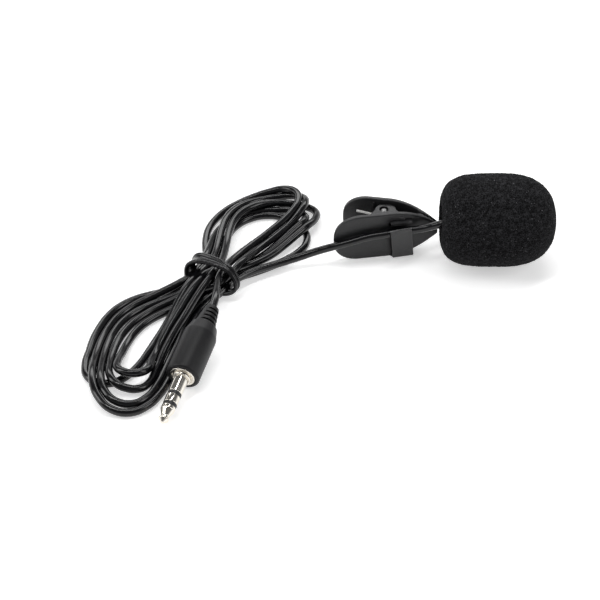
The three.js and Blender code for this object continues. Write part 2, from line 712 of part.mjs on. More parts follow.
// The strip round the waist, flat against the table below, with a ridge along each edge.
function makeTie() {
  const tie = new THREE.Group();
  tie.position.set(HANK_X, HANK_Y, 0);
  tie.rotation.z = HANK_ANGLE;
  microphone.add(tie);
  const halfInside = WAIST_HALF + CORD_RADIUS + FIT;
  const inside = [TIE_SHEET, TIE_SHEET + 2 * FIT + 2 * CORD_RADIUS + HANK_LAYER];
  const outline = (grow, bottom) => {
    const half = halfInside + grow;
    const top = inside[1] + grow;
    const corner = Math.min(CORD_RADIUS + FIT + grow, (top - bottom) / 2);
    const shape = new THREE.Shape();
    shape.absarc(half - corner, top - corner, corner, 0, Math.PI / 2);
    shape.absarc(corner - half, top - corner, corner, Math.PI / 2, Math.PI);
    shape.absarc(corner - half, bottom + corner, corner, Math.PI, 1.5 * Math.PI);
    shape.absarc(half - corner, bottom + corner, corner, 1.5 * Math.PI, 2 * Math.PI);
    return shape;
  };
  const slab = (grow, bottom, width) => {
    const options = { depth: width, bevelEnabled: false, curveSegments: 6 };
    const geometry = new THREE.ExtrudeGeometry(outline(grow, bottom), options);
    return geometry.translate(0, 0, -width / 2).rotateX(Math.PI / 2).rotateZ(Math.PI / 2);
  };
  const ridge = TIE_SHEET + TIE_RIDGE;
  const ridged = toManifold(slab(ridge, 0, TIE_WIDTH));
  const valley = cut(
    toManifold(slab(ridge + 1, -1, TIE_WIDTH * 0.4)),
    toManifold(slab(TIE_SHEET, 0, TIE_WIDTH)),
  );
  const opening = toManifold(slab(0, inside[0], TIE_WIDTH + 2));
  const band = toGeometry(cut(ridged, opening, valley));
  place(tie, 'hank_tie', band, BLACK_PLASTIC);
}

makeTie();

// ---------------------------------------------------------------- plug
const plug = new THREE.Group();
plug.position.set(PLUG_X, PLUG_Y, PLUG_Z);
plug.rotation.set(0, PLUG_TILT, PLUG_HEADING, 'ZYX');
microphone.add(plug);
plug.updateMatrixWorld(true);

const BODY_REAR = -PLUG_LENGTH;
const RELIEF_REAR = BODY_REAR - RELIEF_LENGTH;

function makeOvermould() {
  const body = toManifold(turned([
    [RELIEF_REAR, 0],
    [RELIEF_REAR, RELIEF_REAR_RADIUS],
    [BODY_REAR - 0.4, RELIEF_FRONT_RADIUS],
    [BODY_REAR, PLUG_REAR_RADIUS],
    [BODY_REAR + PLUG_SHOULDER, PLUG_RADIUS],
    [-PLUG_RIM, PLUG_RADIUS],
    [-PLUG_RIM * 0.3, PLUG_RADIUS - PLUG_RIM * 0.3],
    [0, PLUG_RADIUS - PLUG_RIM],
    [0, 0],
  ]));
  const socket = toManifold(turned([
    [-SOCKET_DEPTH - FIT, 0],
    [-SOCKET_DEPTH - FIT, TAIL_RADIUS + FIT],
    [-FLANGE_THICKNESS - FIT, TAIL_RADIUS + FIT],
    [-FLANGE_THICKNESS - FIT, FLANGE_RADIUS + FIT],
    [1, FLANGE_RADIUS + FIT],
    [1, 0],
  ]));
  const slots = [];
  const pitch = RELIEF_LENGTH / (RELIEF_SLOTS + 0.5);
  for (let i = 0; i < RELIEF_SLOTS; i += 1) {
    const x = BODY_REAR - 0.75 * pitch - i * pitch;
    const side = i % 2 === 0 ? 1 : -1;
    const reach = PLUG_RADIUS;
    const near = side > 0 ? CORD_RADIUS * 1.1 : -reach;
    const slot = box(x - RELIEF_SLOT / 2, x + RELIEF_SLOT / 2, near, near + reach - CORD_RADIUS * 1.1,
      -reach, reach);
    slots.push(toManifold(slot));
  }
  place(plug, 'plug_overmould', toGeometry(cut(body, socket, ...slots)), BLACK_RUBBER);
}

// Sleeve with its flange and collar, two insulators, ring contact and tip contact, on one axis.
function makeContacts() {
  const bore = ROD_RADIUS + FIT;
  place(plug, 'plug_sleeve', turned([
    [-SOCKET_DEPTH, SLEEVE_BORE],
    [-SOCKET_DEPTH, TAIL_RADIUS],
    [-FLANGE_THICKNESS, TAIL_RADIUS],
    [-FLANGE_THICKNESS, FLANGE_RADIUS],
    [0, FLANGE_RADIUS],
    [0, COLLAR_RADIUS],
    [COLLAR_LENGTH, COLLAR_RADIUS],
    [COLLAR_LENGTH, PIN_BARREL],
    [SLEEVE_END, PIN_BARREL],
    [SLEEVE_END, SLEEVE_BORE],
    [-SOCKET_DEPTH, SLEEVE_BORE],
  ]), NICKEL);
  const rearEnd = RING_START - FIT;
  const rear = ring(SLEEVE_END + FIT, rearEnd, bore, PIN_BARREL);
  place(plug, 'rear_insulator', rear, BLACK_PLASTIC);
  place(plug, 'ring_contact', ring(RING_START, RING_END, bore, PIN_BARREL), NICKEL);
  const front = ring(RING_END + FIT, TIP_START - FIT, bore, PIN_BARREL);
  place(plug, 'front_insulator', front, BLACK_PLASTIC);
  place(plug, 'tip_contact', turned([
    [-SOCKET_DEPTH, 0],
    [-SOCKET_DEPTH, ROD_RADIUS],
    [TIP_START, ROD_RADIUS],
    [TIP_START, PIN_BARREL],
    [TIP_START + 0.5, PIN_BARREL],
    [TIP_NECK - 0.9, TIP_NECK_RADIUS],
    [TIP_NECK, TIP_BULB],
    [TIP_NECK + 0.5, TIP_BULB],
    [PIN_LENGTH - 0.35, TIP_BULB * 0.35],
    [PIN_LENGTH, 0],
  ]), NICKEL);
}

makeOvermould();
makeContacts();

// ---------------------------------------------------------------- free stretches of the lead
// A tube of round section along a smooth line through the points.
function freeCord(points) {
  const route = new THREE.CatmullRomCurve3(points, false, 'centripetal');
  const steps = Math.ceil(route.getLength() / (5 * CORD_RADIUS));
  const section = new THREE.Shape();
  for (let k = 0; k < CORD_SIDES; k += 1) {
    const angle = (2 * Math.PI * (k + 0.5)) / CORD_SIDES;
    const [x, y] = [CORD_RADIUS * Math.cos(angle), CORD_RADIUS * Math.sin(angle)];
    if (k === 0) section.moveTo(x, y);
    else section.lineTo(x, y);
  }
  section.closePath();
  return new THREE.ExtrudeGeometry(section, { steps, extrudePath: route });
}

// Two points that carry a cord straight on from where another solid ends.
function straightOn(end, before, length) {
  const along = end.clone().sub(before).normalize();
  return [end.clone().addScaledVector(along, FIT), end.clone().addScaledVector(along, length)];
}

const LEAD_POINTS = [
  [-44.6, -7.9, 1.1],
  [-39.9, -5.3, 1.7],
  [-34.6, -3.9, 3.9],
  [-28.6, -3.3, 6.2],
  [-21.4, -2.3, 7.7],
  [-13.6, -1.15, 8.5],
  [-10.1, -0.33, 8.8],
  [-6.8, 0.42, 9.15],
  [-3.4, 0.25, 10.1],
];

const boot = new THREE.Vector3(BOOT_REAR_X, 0, AXIS_Z);
const bootInside = new THREE.Vector3(HEAD_REAR_X, 0, AXIS_Z);
const lead = [
  ...straightOn(hankRoute[0], hankRoute[1], HANK_EXIT),
  ...LEAD_POINTS.map(([x, y, z]) => new THREE.Vector3(x, y, z)),
  ...straightOn(boot, bootInside, BOOT_ENTRY).reverse(),
];
place(microphone, 'lead_cord', closed(freeCord(lead)), BLACK_CORD);

const [hankEnd, hankBeforeEnd] = [...hankRoute].reverse();
const relief = plug.localToWorld(new THREE.Vector3(RELIEF_REAR, 0, 0));
const reliefInside = plug.localToWorld(new THREE.Vector3(BODY_REAR, 0, 0));
const plugLead = [
  ...straightOn(hankEnd, hankBeforeEnd, PLUG_ENTRY),
  ...straightOn(relief, reliefInside, PLUG_ENTRY).reverse(),
];
place(microphone, 'plug_lead', closed(freeCord(plugLead)), BLACK_CORD);

export default microphone;
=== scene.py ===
"""Clip-on lapel microphone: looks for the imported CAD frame.

The frame is in metres, +Z up, with +X along the microphone towards the nose of its windscreen.
Shapes are worked out in millimetres and scaled by MM where they join the frame.
"""

import math

import bmesh
import bpy
from mathutils import Matrix, Vector, noise


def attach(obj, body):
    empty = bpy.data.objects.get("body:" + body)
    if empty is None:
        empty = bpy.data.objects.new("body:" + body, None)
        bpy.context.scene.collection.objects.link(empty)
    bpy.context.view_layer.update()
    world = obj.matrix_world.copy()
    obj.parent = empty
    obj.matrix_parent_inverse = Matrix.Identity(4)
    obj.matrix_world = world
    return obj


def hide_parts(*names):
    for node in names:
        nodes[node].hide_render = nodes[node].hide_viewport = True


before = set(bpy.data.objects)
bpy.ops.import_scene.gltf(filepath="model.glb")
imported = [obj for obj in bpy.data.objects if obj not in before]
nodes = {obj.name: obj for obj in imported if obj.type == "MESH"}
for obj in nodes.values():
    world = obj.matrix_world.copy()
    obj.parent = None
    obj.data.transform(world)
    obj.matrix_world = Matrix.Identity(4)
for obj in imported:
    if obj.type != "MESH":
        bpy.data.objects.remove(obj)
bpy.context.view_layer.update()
scene = bpy.context.scene
MM = 0.001

# ------------------------------ camera
CAMERA_PLACE = (-0.03705, -0.34700, 0.27640)
CAMERA_TILT = math.radians(50)  # up from looking straight down
CAMERA_LENS = 102
CAMERA_SENSOR = 36
CAMERA_NEAR = 0.01

camera_data = bpy.data.cameras.new("camera")
camera_data.sensor_width = CAMERA_SENSOR
camera_data.lens = CAMERA_LENS
camera_data.clip_start = CAMERA_NEAR
camera = bpy.data.objects.new("camera", camera_data)
camera.location = CAMERA_PLACE
camera.rotation_euler = (CAMERA_TILT, 0, 0)
scene.collection.objects.link(camera)
scene.camera = camera

# ------------------------------ materials
GRAIN_DETAIL = 3.0
GRAIN_ROUGHNESS = 0.6
GRAIN_DARKEST = 0.3  # the noise value with the dark colour
GRAIN_LIGHTEST = 0.7
GRAIN_BUMP = 0.25
GLOSS_SPREAD = 0.07  # how far a plastic's roughness goes up and down
MARK_SCALE = 420.0
MARK_DETAIL = 4.0
MARK_ROUGHNESS = 0.7
MARK_GLOSS = (0.6, 1.5)  # shares of a metal's roughness
MARK_SHADE = 0.86  # share of a metal's colour in its darkest marks


def shader(name, color, roughness, metallic=0.0, **sockets):
    """A new material and its Principled node, with one value on each named socket."""
    material = bpy.data.materials.new(name)
    material.use_nodes = True
    node = material.node_tree.nodes["Principled BSDF"]
    node.inputs["Base Color"].default_value = (*color, 1)
    node.inputs["Roughness"].default_value = roughness
    node.inputs["Metallic"].default_value = metallic
    for socket, value in sockets.items():
        node.inputs[socket.replace("_", " ")].default_value = value
    return material, node


def add(owner, kind, **settings):
    """A node of that kind with its settings and input values, in a material or the world."""
    node = owner.node_tree.nodes.new(kind)
    for key, value in settings.items():
        if hasattr(node, key):
            setattr(node, key, value)
        else:
            node.inputs[key.replace("_", " ")].default_value = value
    return node


def wire(owner, source, out, target, socket):
    """Links one node's output to another node's input."""
    owner.node_tree.links.new(source.outputs[out], target.inputs[socket])


def texture(material, kind, **settings):
    """A texture node laid out in the object's own coordinates."""
    place = add(material, "ShaderNodeTexCoord")
    node = add(material, kind, **settings)
    wire(material, place, "Object", node, "Vector")
    return node


def ramp(material, source, out, low, high):
    """Colours a value by a ramp between two (position, colour) ends."""
    node = add(material, "ShaderNodeValToRGB")
    for end, (position, color) in zip(node.color_ramp.elements, (low, high)):
        end.position = position
        end.color = (*color, 1)
    wire(material, source, out, node, "Fac")
    return node


def remap(owner, source, out, **limits):
    """Rescales a value between limits."""
    node = add(owner, "ShaderNodeMapRange", **limits)
    wire(owner, source, out, node, "Value")
    return node


def bump(material, principled, source, out, **settings):
    """Raises the surface by a value."""
    node = add(material, "ShaderNodeBump", **settings)
    wire(material, source, out, node, "Height")
    wire(material, node, "Normal", principled, "Normal")


def plastic(name, dark, light, roughness, scale=2600.0, depth=0.00006, ior=1.46):
    """Moulded plastic or rubber, with a fine grain in its colour, its gloss and its skin."""
    material, principled = shader(name, dark, roughness, IOR=ior)
    speckle = texture(material, "ShaderNodeTexNoise", Scale=scale, Detail=GRAIN_DETAIL,
                      Roughness=GRAIN_ROUGHNESS)
    shade = ramp(material, speckle, "Fac", (GRAIN_DARKEST, dark), (GRAIN_LIGHTEST, light))
    wire(material, shade, "Color", principled, "Base Color")
    bump(material, principled, speckle, "Fac", Strength=GRAIN_BUMP, Distance=depth)
    level = remap(material, speckle, "Fac", To_Min=roughness - GLOSS_SPREAD,
                  To_Max=roughness + GLOSS_SPREAD)
    wire(material, level, "Result", principled, "Roughness")
    return material


def metal(name, color, roughness):
    """Plated or drawn metal with faint turning marks."""
    material, principled = shader(name, color, roughness, 1.0)
    marks = texture(material, "ShaderNodeTexNoise", Scale=MARK_SCALE, Detail=MARK_DETAIL,
                    Roughness=MARK_ROUGHNESS)
    smooth, rough = MARK_GLOSS
    level = remap(material, marks, "Fac", To_Min=roughness * smooth, To_Max=roughness * rough)
    wire(material, level, "Result", principled, "Roughness")
    darker = [channel * MARK_SHADE for channel in color]
    tint = add(material, "ShaderNodeMixRGB", Color1=(*darker, 1), Color2=(*color, 1))
    wire(material, marks, "Fac", tint, "Fac")
    wire(material, tint, "Color", principled, "Base Color")
    return material


def foam_finish():
    """Bright strands round dark pores, which are painted shade, and painted glints: pale specks
    here and there.
    """
    material, principled = shader("foam", (0.010, 0.010, 0.011), 0.9, Specular_IOR_Level=0.1)
    strands = texture(material, "ShaderNodeTexVoronoi", Scale=1750.0, feature="DISTANCE_TO_EDGE")
    # painted shade: the pores between the strands are coloured far darker, standing in for the
    # shade inside the cells
    shade = ramp(material, strands, "Distance",
                 (0.02, (0.025, 0.025, 0.027)), (0.22, (0.004, 0.004, 0.0045)))
    patches = texture(material, "ShaderNodeTexNoise", Scale=1050.0, Detail=4.0, Roughness=0.7)
    uneven = remap(material, patches, "Fac", From_Min=0.35, From_Max=0.65, To_Min=0.2, To_Max=1.7)
    shaded = add(material, "ShaderNodeMixRGB", blend_type="MULTIPLY", Fac=1.0)
    wire(material, shade, "Color", shaded, "Color1")
    wire(material, uneven, "Result", shaded, "Color2")
    # painted glints: specks of pale grey in the colour, standing in for highlights on the foam
    painted_glints = texture(material, "ShaderNodeTexNoise", Scale=2300.0, Detail=2.0)
    painted_glint_spots = remap(material, painted_glints, "Fac", From_Min=0.69, From_Max=0.76)
    with_painted_glints = add(material, "ShaderNodeMixRGB", Color2=(0.2, 0.2, 0.21, 1))
    wire(material, painted_glint_spots, "Result", with_painted_glints, "Fac")
    wire(material, shaded, "Color", with_painted_glints, "Color1")
    wire(material, with_painted_glints, "Color", principled, "Base Color")
    bump(material, principled, strands, "Distance", Strength=0.9, Distance=0.0002, invert=True)
    return material


CLIP_PLASTIC = plastic("clip_plastic", (0.015, 0.015, 0.016), (0.023, 0.023, 0.025), 0.4)
HEAD_PLASTIC = plastic("head_plastic", (0.020, 0.020, 0.021), (0.028, 0.028, 0.030), 0.45)
PLUG_RUBBER = plastic("plug_rubber", (0.003, 0.003, 0.004), (0.007, 0.007, 0.008), 0.45,
                      scale=3200.0, ior=1.38)
TIE_PLASTIC = plastic("tie_plastic", (0.006, 0.006, 0.007), (0.010, 0.010, 0.011), 0.22,
                      scale=1800.0, depth=0.00002)
BLACK_RING = plastic("insulator_plastic", (0.014, 0.014, 0.015), (0.022, 0.022, 0.023), 0.35)
JACKET = plastic("cord_jacket", (0.003, 0.003, 0.004), (0.006, 0.006, 0.007), 0.17,
                 scale=900.0, depth=0.00001)
FELT = plastic("felt", (0.010, 0.010, 0.010), (0.030, 0.030, 0.030), 0.95, scale=4000.0)
PALE = plastic("pale_plastic", (0.62, 0.60, 0.56), (0.72, 0.70, 0.66), 0.5)
BOARD = plastic("solder_mask", (0.02, 0.12, 0.04), (0.04, 0.19, 0.07), 0.4)
STEEL = metal("bright_steel", (0.95, 0.94, 0.92), 0.5)
PIN_STEEL = metal("dull_steel", (0.24, 0.24, 0.24), 0.42)
RETAINER_PLASTIC = plastic("retainer_plastic", (0.020, 0.020, 0.021), (0.030, 0.030, 0.032), 0.42)
NICKEL = metal("plug_nickel", (0.84, 0.80, 0.73), 0.11)
BRASS = metal("brass", (0.72, 0.52, 0.24), 0.3)
CAN = metal("aluminium_can", (0.80, 0.80, 0.80), 0.3)

CAD_FINISH = (
    (HEAD_PLASTIC, ("mic_housing", "front_grille")),
    (FELT, ("dust_felt",)),
    (CAN, ("capsule_can",)),
    (BRASS, ("diaphragm_ring", "backplate")),
    (PALE, ("capsule_carrier",)),
    (BOARD, ("amplifier_board",)),
    (PLUG_RUBBER, ("capsule_sleeve", "mic_strain_relief", "plug_overmould")),
    (CLIP_PLASTIC, ("front_jaw", "rear_jaw")),
    (RETAINER_PLASTIC, ("cable_retainer",)),
    (PIN_STEEL, ("pivot_pin",)),
    (STEEL, ("torsion_spring",)),
    (TIE_PLASTIC, ("hank_tie",)),
    (BLACK_RING, ("rear_insulator", "front_insulator")),
    (NICKEL, ("plug_sleeve", "ring_contact", "tip_contact")),
)
for finish, names in CAD_FINISH:
    for name in names:
        nodes[name].data.materials.clear()
        nodes[name].data.materials.append(finish)


# ------------------------------ cord
CORD_DIAMETER = 2.0
CORD_STEPS = 5  # along the curve, from one knot to the next
CORD_ROUNDING = 5

# The middle of the cord, from the microphone's boot, round the hank's loops and to the plug.
CORD_ROUTE = [
    (2.8, 0, 11.8), (-1.6, -0.3, 10.7), (-5.9, -0.2, 9.3), (-10.5, -0.5, 8.8), (-15, -1.4, 8.4),
    (-19.5, -2.1, 8), (-23.9, -2.9, 7.1), (-28.2, -3.3, 6), (-32.5, -3.2, 4.4), (-36.9, -3.9, 3.1),
    (-41.1, -5.4, 2.6), (-45.3, -7.4, 2.6), (-49.3, -9.6, 2.7), (-52.9, -12.4, 2.7),
    (-55.9, -15.8, 2.2), (-59, -19.2, 1.6), (-61.7, -22.8, 1.1), (-63.5, -27, 1),
    (-64.6, -31.5, 1), (-65.4, -36, 1), (-66.3, -40.5, 1), (-67.4, -45, 1), (-68.6, -49.4, 1),
    (-70.3, -53.7, 1), (-72.9, -57.4, 1), (-76.8, -59.8, 1.1), (-81.1, -59.2, 1.6),
    (-84.3, -56, 2.4), (-86, -51.8, 3), (-86.6, -47.3, 2.9), (-86.6, -42.8, 2),
    (-86.3, -38.2, 1.4), (-85.6, -33.7, 1.1), (-84.3, -29.3, 1), (-82.3, -25.2, 1),
    (-79.3, -21.8, 1.2), (-75.5, -19.2, 1.7), (-71.5, -17.1, 2.5), (-67.6, -14.9, 3.3),
    (-64.4, -11.7, 3.4), (-62.5, -7.6, 3.3), (-61.2, -3.2, 3.2), (-60.4, 1.3, 2.6),
    (-59.6, 5.8, 1.9), (-58.2, 10.1, 1.3), (-55.7, 13.9, 1), (-52.1, 16.7, 1), (-47.8, 18.3, 1),
    (-43.3, 18.8, 1), (-38.5, 18.4, 1), (-35.9, 15.6, 1.6), (-35.9, 11.8, 2.9), (-38.8, 8, 2.5),
    (-41.7, 4.6, 1.7), (-44.8, 1.2, 1.2), (-47.9, -2.1, 1), (-51, -5.5, 1.2), (-54.4, -8.7, 1.4),
    (-57.6, -11.9, 1.6), (-60.8, -15.2, 1.3), (-63.8, -18.7, 1), (-67.5, -21.5, 1),
    (-71.2, -24, 1), (-74.7, -27, 1), (-77.4, -30.8, 1), (-79.1, -35, 1.1), (-80.1, -39.6, 1.8),
    (-80.8, -44.5, 3.1), (-80.6, -46.9, 3.6), (-79, -48.7, 3.9), (-76.7, -49.3, 3.9),
    (-74.4, -48.4, 3.6), (-73.1, -46.4, 3.1), (-72.8, -43, 2.3), (-71.8, -39, 1.7),
    (-70.4, -34.5, 2.3), (-68.8, -30.2, 3), (-67, -26, 3.8), (-65.2, -21.9, 4.7),
    (-63.2, -17.8, 5.2), (-61.2, -13.7, 4.9), (-59.3, -9.8, 3.5), (-58, -5.6, 2.2),
    (-57.4, -1.1, 1.4), (-56.9, 3.4, 1.1), (-55.9, 7.9, 1), (-53.8, 12, 1), (-50.4, 15, 1),
    (-46.1, 16.4, 1), (-41.7, 15.6, 1), (-38, 13.1, 1), (-35.6, 9.1, 1), (-35.4, 4.6, 1),
    (-37.4, 0.6, 1), (-40.7, -2.6, 1), (-44.5, -5.3, 1), (-48.4, -7.6, 1), (-52.3, -9.9, 1.2),
    (-55.7, -12.9, 1.5), (-58.9, -16.2, 1.5), (-61.9, -19.6, 1.2), (-64.3, -23.6, 1.1),
    (-65.8, -27.9, 1), (-66.8, -32.4, 1), (-67.6, -36.9, 1), (-68.6, -41.4, 1), (-69.7, -45.9, 1),
    (-71, -50.3, 1), (-73.1, -54.5, 1), (-76.5, -57.1, 1.3), (-80.3, -56.9, 2),
    (-83.2, -53.9, 2.8), (-84.4, -49.3, 3), (-84.7, -44.8, 2.2), (-84.5, -40.2, 1.5),
    (-84, -35.7, 1.1), (-82.9, -31.2, 1), (-81, -27.1, 1), (-78.1, -23.5, 1), (-74.4, -20.8, 1.1),
    (-70.4, -18.7, 1.4), (-66.2, -16.9, 2.1), (-62, -15.4, 3.1), (-57.9, -13.3, 3.5),
    (-54.4, -10.4, 3.2), (-50.9, -7.5, 2.6), (-47.6, -4.4, 1.9), (-44.3, -1.2, 1.6),
    (-41.2, 2.2, 1.9), (-38.2, 5.6, 2.5), (-35.2, 9.1, 3), (-33, 13.1, 2.4), (-32.9, 17.4, 1.5),
    (-35.7, 20.4, 1), (-40.3, 20.8, 1.7), (-44.7, 19.9, 2.6), (-48.8, 18.1, 3.1),
    (-52.2, 15.1, 3.4), (-54.5, 11.1, 3.3), (-55.6, 6.7, 3.2), (-56.1, 2.1, 3.2),
    (-56.5, -2.4, 3.6), (-57.1, -6.9, 4.3), (-58.2, -11.3, 5.2), (-59.9, -15.6, 5.5),
    (-61.9, -19.6, 4.9), (-63.9, -23.7, 4), (-65.7, -27.9, 3.3), (-67.4, -32.1, 2.9),
    (-68.9, -36.4, 2.5), (-70.3, -40.8, 1.9), (-71.5, -45.2, 1.4), (-73.4, -50.3, 1.1),
    (-75.7, -52.2, 1.5), (-78.1, -52.4, 2), (-80.4, -51.6, 2.6), (-82.2, -49, 2.9),
    (-82.7, -43.7, 2), (-82.4, -39.2, 1.5), (-81.6, -34.7, 1.1), (-80, -30.4, 1),
    (-77.5, -26.5, 1), (-74.3, -23.3, 1.1), (-70.4, -20.8, 1.6), (-66.3, -18.9, 2.5),
    (-62, -17.5, 3.2), (-57.9, -15.7, 3.7), (-54.6, -12.7, 4.6), (-52.2, -8.8, 4.9),
    (-50.1, -4.8, 4), (-47.9, -0.8, 3.1), (-45.3, 2.9, 2.6), (-42.5, 6.5, 2.5), (-39.7, 10.2, 2.8),
    (-37.4, 14.1, 3.3), (-35.7, 18.4, 3.5), (-36.1, 22.5, 2.4), (-39.4, 25, 1.2), (-44, 24.5, 1),
    (-48.3, 22.9, 1.2), (-52, 20.3, 1.8), (-54.8, 16.8, 2.5), (-56.6, 12.6, 3), (-57.6, 8.1, 3),
    (-58.2, 3.6, 2.9), (-58.8, -1, 3), (-59.7, -5.5, 3.5), (-61.4, -9.7, 4.1), (-63.5, -13.8, 4.6),
    (-65.4, -17.9, 4.7), (-67.2, -22, 3.7), (-68.8, -26.1, 2.5), (-70.5, -30.3, 1.6),
    (-72.3, -34.6, 1.2), (-73.9, -38.9, 1.2), (-75.7, -43, 1), (-78.4, -47, 1), (-81.7, -49.5, 1),
    (-85, -49.4, 1), (-87.7, -47.5, 1), (-88.8, -43.2, 1), (-88.3, -38.3, 1), (-87.7, -33.8, 1),
    (-86.5, -29.3, 1), (-84.8, -25.1, 1), (-82.1, -21.3, 1), (-78.5, -18.5, 1), (-74.3, -16.6, 1),
    (-70, -15.3, 1.1), (-65.5, -14.2, 1.6), (-61.8, -11.9, 1.9), (-60.5, -7.5, 1.7),
    (-60.9, -3.1, 1.1), (-61.6, 1.5, 1), (-61.8, 6, 1), (-61.2, 10.6, 1), (-59.5, 14.8, 1),
    (-56.9, 18.6, 1), (-53.6, 21.8, 1), (-49.8, 24.3, 1.2), (-45.6, 26, 1.7), (-41.2, 26.1, 2.7),
    (-38, 23.3, 3.6), (-37.7, 18.9, 3.6), (-39.4, 14.6, 3.5), (-41.7, 10.7, 3.4), (-44.5, 7, 3.3),
    (-47.4, 3.4, 3.2), (-50.2, -0.2, 3.4), (-52.8, -4, 3.8), (-54.9, -7.9, 4.5),
    (-56.5, -12.2, 5.5), (-57.5, -16.6, 6.3), (-57.7, -21.1, 7.1), (-57.8, -25.6, 7.8),
    (-58.5, -30, 7.7),
]


def make_cord():
    """One smooth line from the microphone's boot through the hank to the plug's strain relief."""
    data = bpy.data.curves.new("cord", "CURVE")
    data.dimensions = "3D"
    data.resolution_u = CORD_STEPS
    data.bevel_depth = CORD_DIAMETER / 2 * MM
    data.bevel_resolution = CORD_ROUNDING
    data.use_fill_caps = True
    line = data.splines.new("BEZIER")
    line.bezier_points.add(len(CORD_ROUTE) - 1)
    for knot, place in zip(line.bezier_points, CORD_ROUTE):
        knot.co = Vector(place) * MM
        knot.handle_left_type = knot.handle_right_type = "AUTO"
    data.materials.append(JACKET)
    cord = bpy.data.objects.new("cord", data)
    scene.collection.objects.link(cord)
    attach(cord, "microphone")
    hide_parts("lead_cord", "cord_hank", "plug_lead")
    return cord


cord = make_cord()


# ------------------------------ shaping helpers
WELD = 1e-4  # corners nearer than this become one
SMALLEST_RADIUS = 1e-6  # a ring smaller than this is a single corner


def piece(name, mesh, material, body, node):
    """Puts a mesh in the scene as a piece of that body, in place of its CAD node."""
    mesh.materials.clear()
    mesh.materials.append(material)
    thing = bpy.data.objects.new(name, mesh)
    scene.collection.objects.link(thing)
    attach(thing, body)
    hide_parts(node)
    return thing


def raw(name, build, weld=WELD):
    """The closed mesh that `build` puts in a bmesh, still in millimetres."""
    work = bmesh.new()
    build(work)
    bmesh.ops.remove_doubles(work, verts=work.verts, dist=weld)
    bmesh.ops.recalc_face_normals(work, faces=work.faces)
    mesh = bpy.data.meshes.new(name)
    work.to_mesh(mesh)
    work.free()
    return mesh


def finished(mesh, place, crease=40.0):
    """Moves a mesh from millimetres to its place in the frame, with its creases kept sharp."""
    mesh.transform(Matrix.Scale(MM, 4) @ place)
    mesh.shade_smooth()
    mesh.set_sharp_from_angle(angle=math.radians(crease))
    return mesh


def combined(mesh, other, operation):
    """Two closed meshes joined or cut with an exact boolean."""
    things = []
    for data in (mesh, other):
        thing = bpy.data.objects.new("scratch", data)
        scene.collection.objects.link(thing)
        things.append(thing)
    change = things[0].modifiers.new("boolean", "BOOLEAN")
    change.operation = operation
    change.solver = "EXACT"
    change.object = things[1]
    graph = bpy.context.evaluated_depsgraph_get()
    result = bpy.data.meshes.new_from_object(things[0].evaluated_get(graph))
    for thing in things:
        bpy.data.objects.remove(thing)
    return result


def band(work, a, b):
    """Faces between two rings with the same number of corners."""
    for k in range(len(a)):
        n = (k + 1) % len(a)
        work.faces.new((a[k], a[n], b[n], b[k]))


def capped(work, rings):
    """A skin over a row of rings, closed at both ends."""
    for a, b in zip(rings, rings[1:]):
        band(work, a, b)
    work.faces.new(rings[0])
    work.faces.new(list(reversed(rings[-1])))


def block(low, high):
    """A box between two corners."""
    def build(work):
        """A unit cube, stretched and moved."""
        made = bmesh.ops.create_cube(work, size=1.0)["verts"]
        size = [b - a for a, b in zip(low, high)]
        middle = [(a + b) / 2 for a, b in zip(low, high)]
        bmesh.ops.scale(work, vec=size, verts=made)
        bmesh.ops.translate(work, vec=middle, verts=made)
    return raw("block", build)


def even_out(outline, step):
    """The outline again with its points about `step` apart."""
    places = [0.0]
    for a, b in zip(outline, outline[1:]):
        places.append(places[-1] + math.dist(a, b))
    count = max(2, round(places[-1] / step))
    out, k = [], 0
    for i in range(count + 1):
        target = places[-1] * i / count
        while k < len(places) - 2 and places[k + 1] < target:
            k += 1
        share = (target - places[k]) / (places[k + 1] - places[k])
        a, b = outline[k], outline[k + 1]
        out.append((a[0] + (b[0] - a[0]) * share, a[1] + (b[1] - a[1]) * share))
    return out


def arc_profile(corners, steps=5):
    """A polyline whose corners (x, y, radius) are rounded."""
    out = []
    for i, (x, y, radius) in enumerate(corners):
        here = Vector((x, y))
        if radius <= 0 or i in (0, len(corners) - 1):
            out.append(here)
            continue
        before = (Vector(corners[i - 1][:2]) - here).normalized()
        after = (Vector(corners[i + 1][:2]) - here).normalized()
        half = before.angle(after) / 2
        reach = radius / math.tan(half)
        centre = here + (before + after).normalized() * (radius / math.sin(half))
        start, end = here + before * reach - centre, here + after * reach - centre
        turn = math.atan2(start.x * end.y - start.y * end.x, start.dot(end))
        for k in range(steps + 1):
            c, s = math.cos(turn * k / steps), math.sin(turn * k / steps)
            out.append(centre + Vector((start.x * c - start.y * s, start.x * s + start.y * c)))
    return out


def signed_power(value, power):
    """The power of a value's size, with the value's sign."""
    return math.copysign(abs(value) ** power, value)


def quarter(steps):
    """The angles of a quarter turn."""
    return [math.pi / 2 * k / steps for k in range(steps + 1)]


def circle(radius, sides):
    """Points round a circle."""
    turns = [2 * math.pi * k / sides for k in range(sides)]
    return [(radius * math.cos(turn), radius * math.sin(turn)) for turn in turns]


def spin(work, outline, sides):
    """A closed skin of revolution about X through (x, radius) points."""
    rings = []
    for x, radius in outline:
        if radius < SMALLEST_RADIUS:
            rings.append([work.verts.new((x, 0, 0))])
            continue
        rings.append([work.verts.new((x, y, z)) for y, z in circle(radius, sides)])
    for a, b in zip(rings, rings[1:]):
        if len(a) == len(b) == sides:
            band(work, a, b)
            continue
        for k in range(sides if len(a) != len(b) else 0):
            n = (k + 1) % sides
            work.faces.new((a[0], b[n], b[k]) if len(a) == 1 else (a[k], a[n], b[0]))


def lathe(outline, sides=72):
    """A closed body of revolution about X through rounded corners (x, radius, rounding)."""
    points = [(p.x, max(p.y, 0.0)) for p in arc_profile(outline)]
    return raw("lathe", lambda work: spin(work, points, sides))


def sweep(work, path, section):
    """A skin along `path` (points with a side and an up direction) through section points."""
    capped(work, [[work.verts.new(centre + side * s + up * t) for s, t in section]
                  for centre, side, up in path])


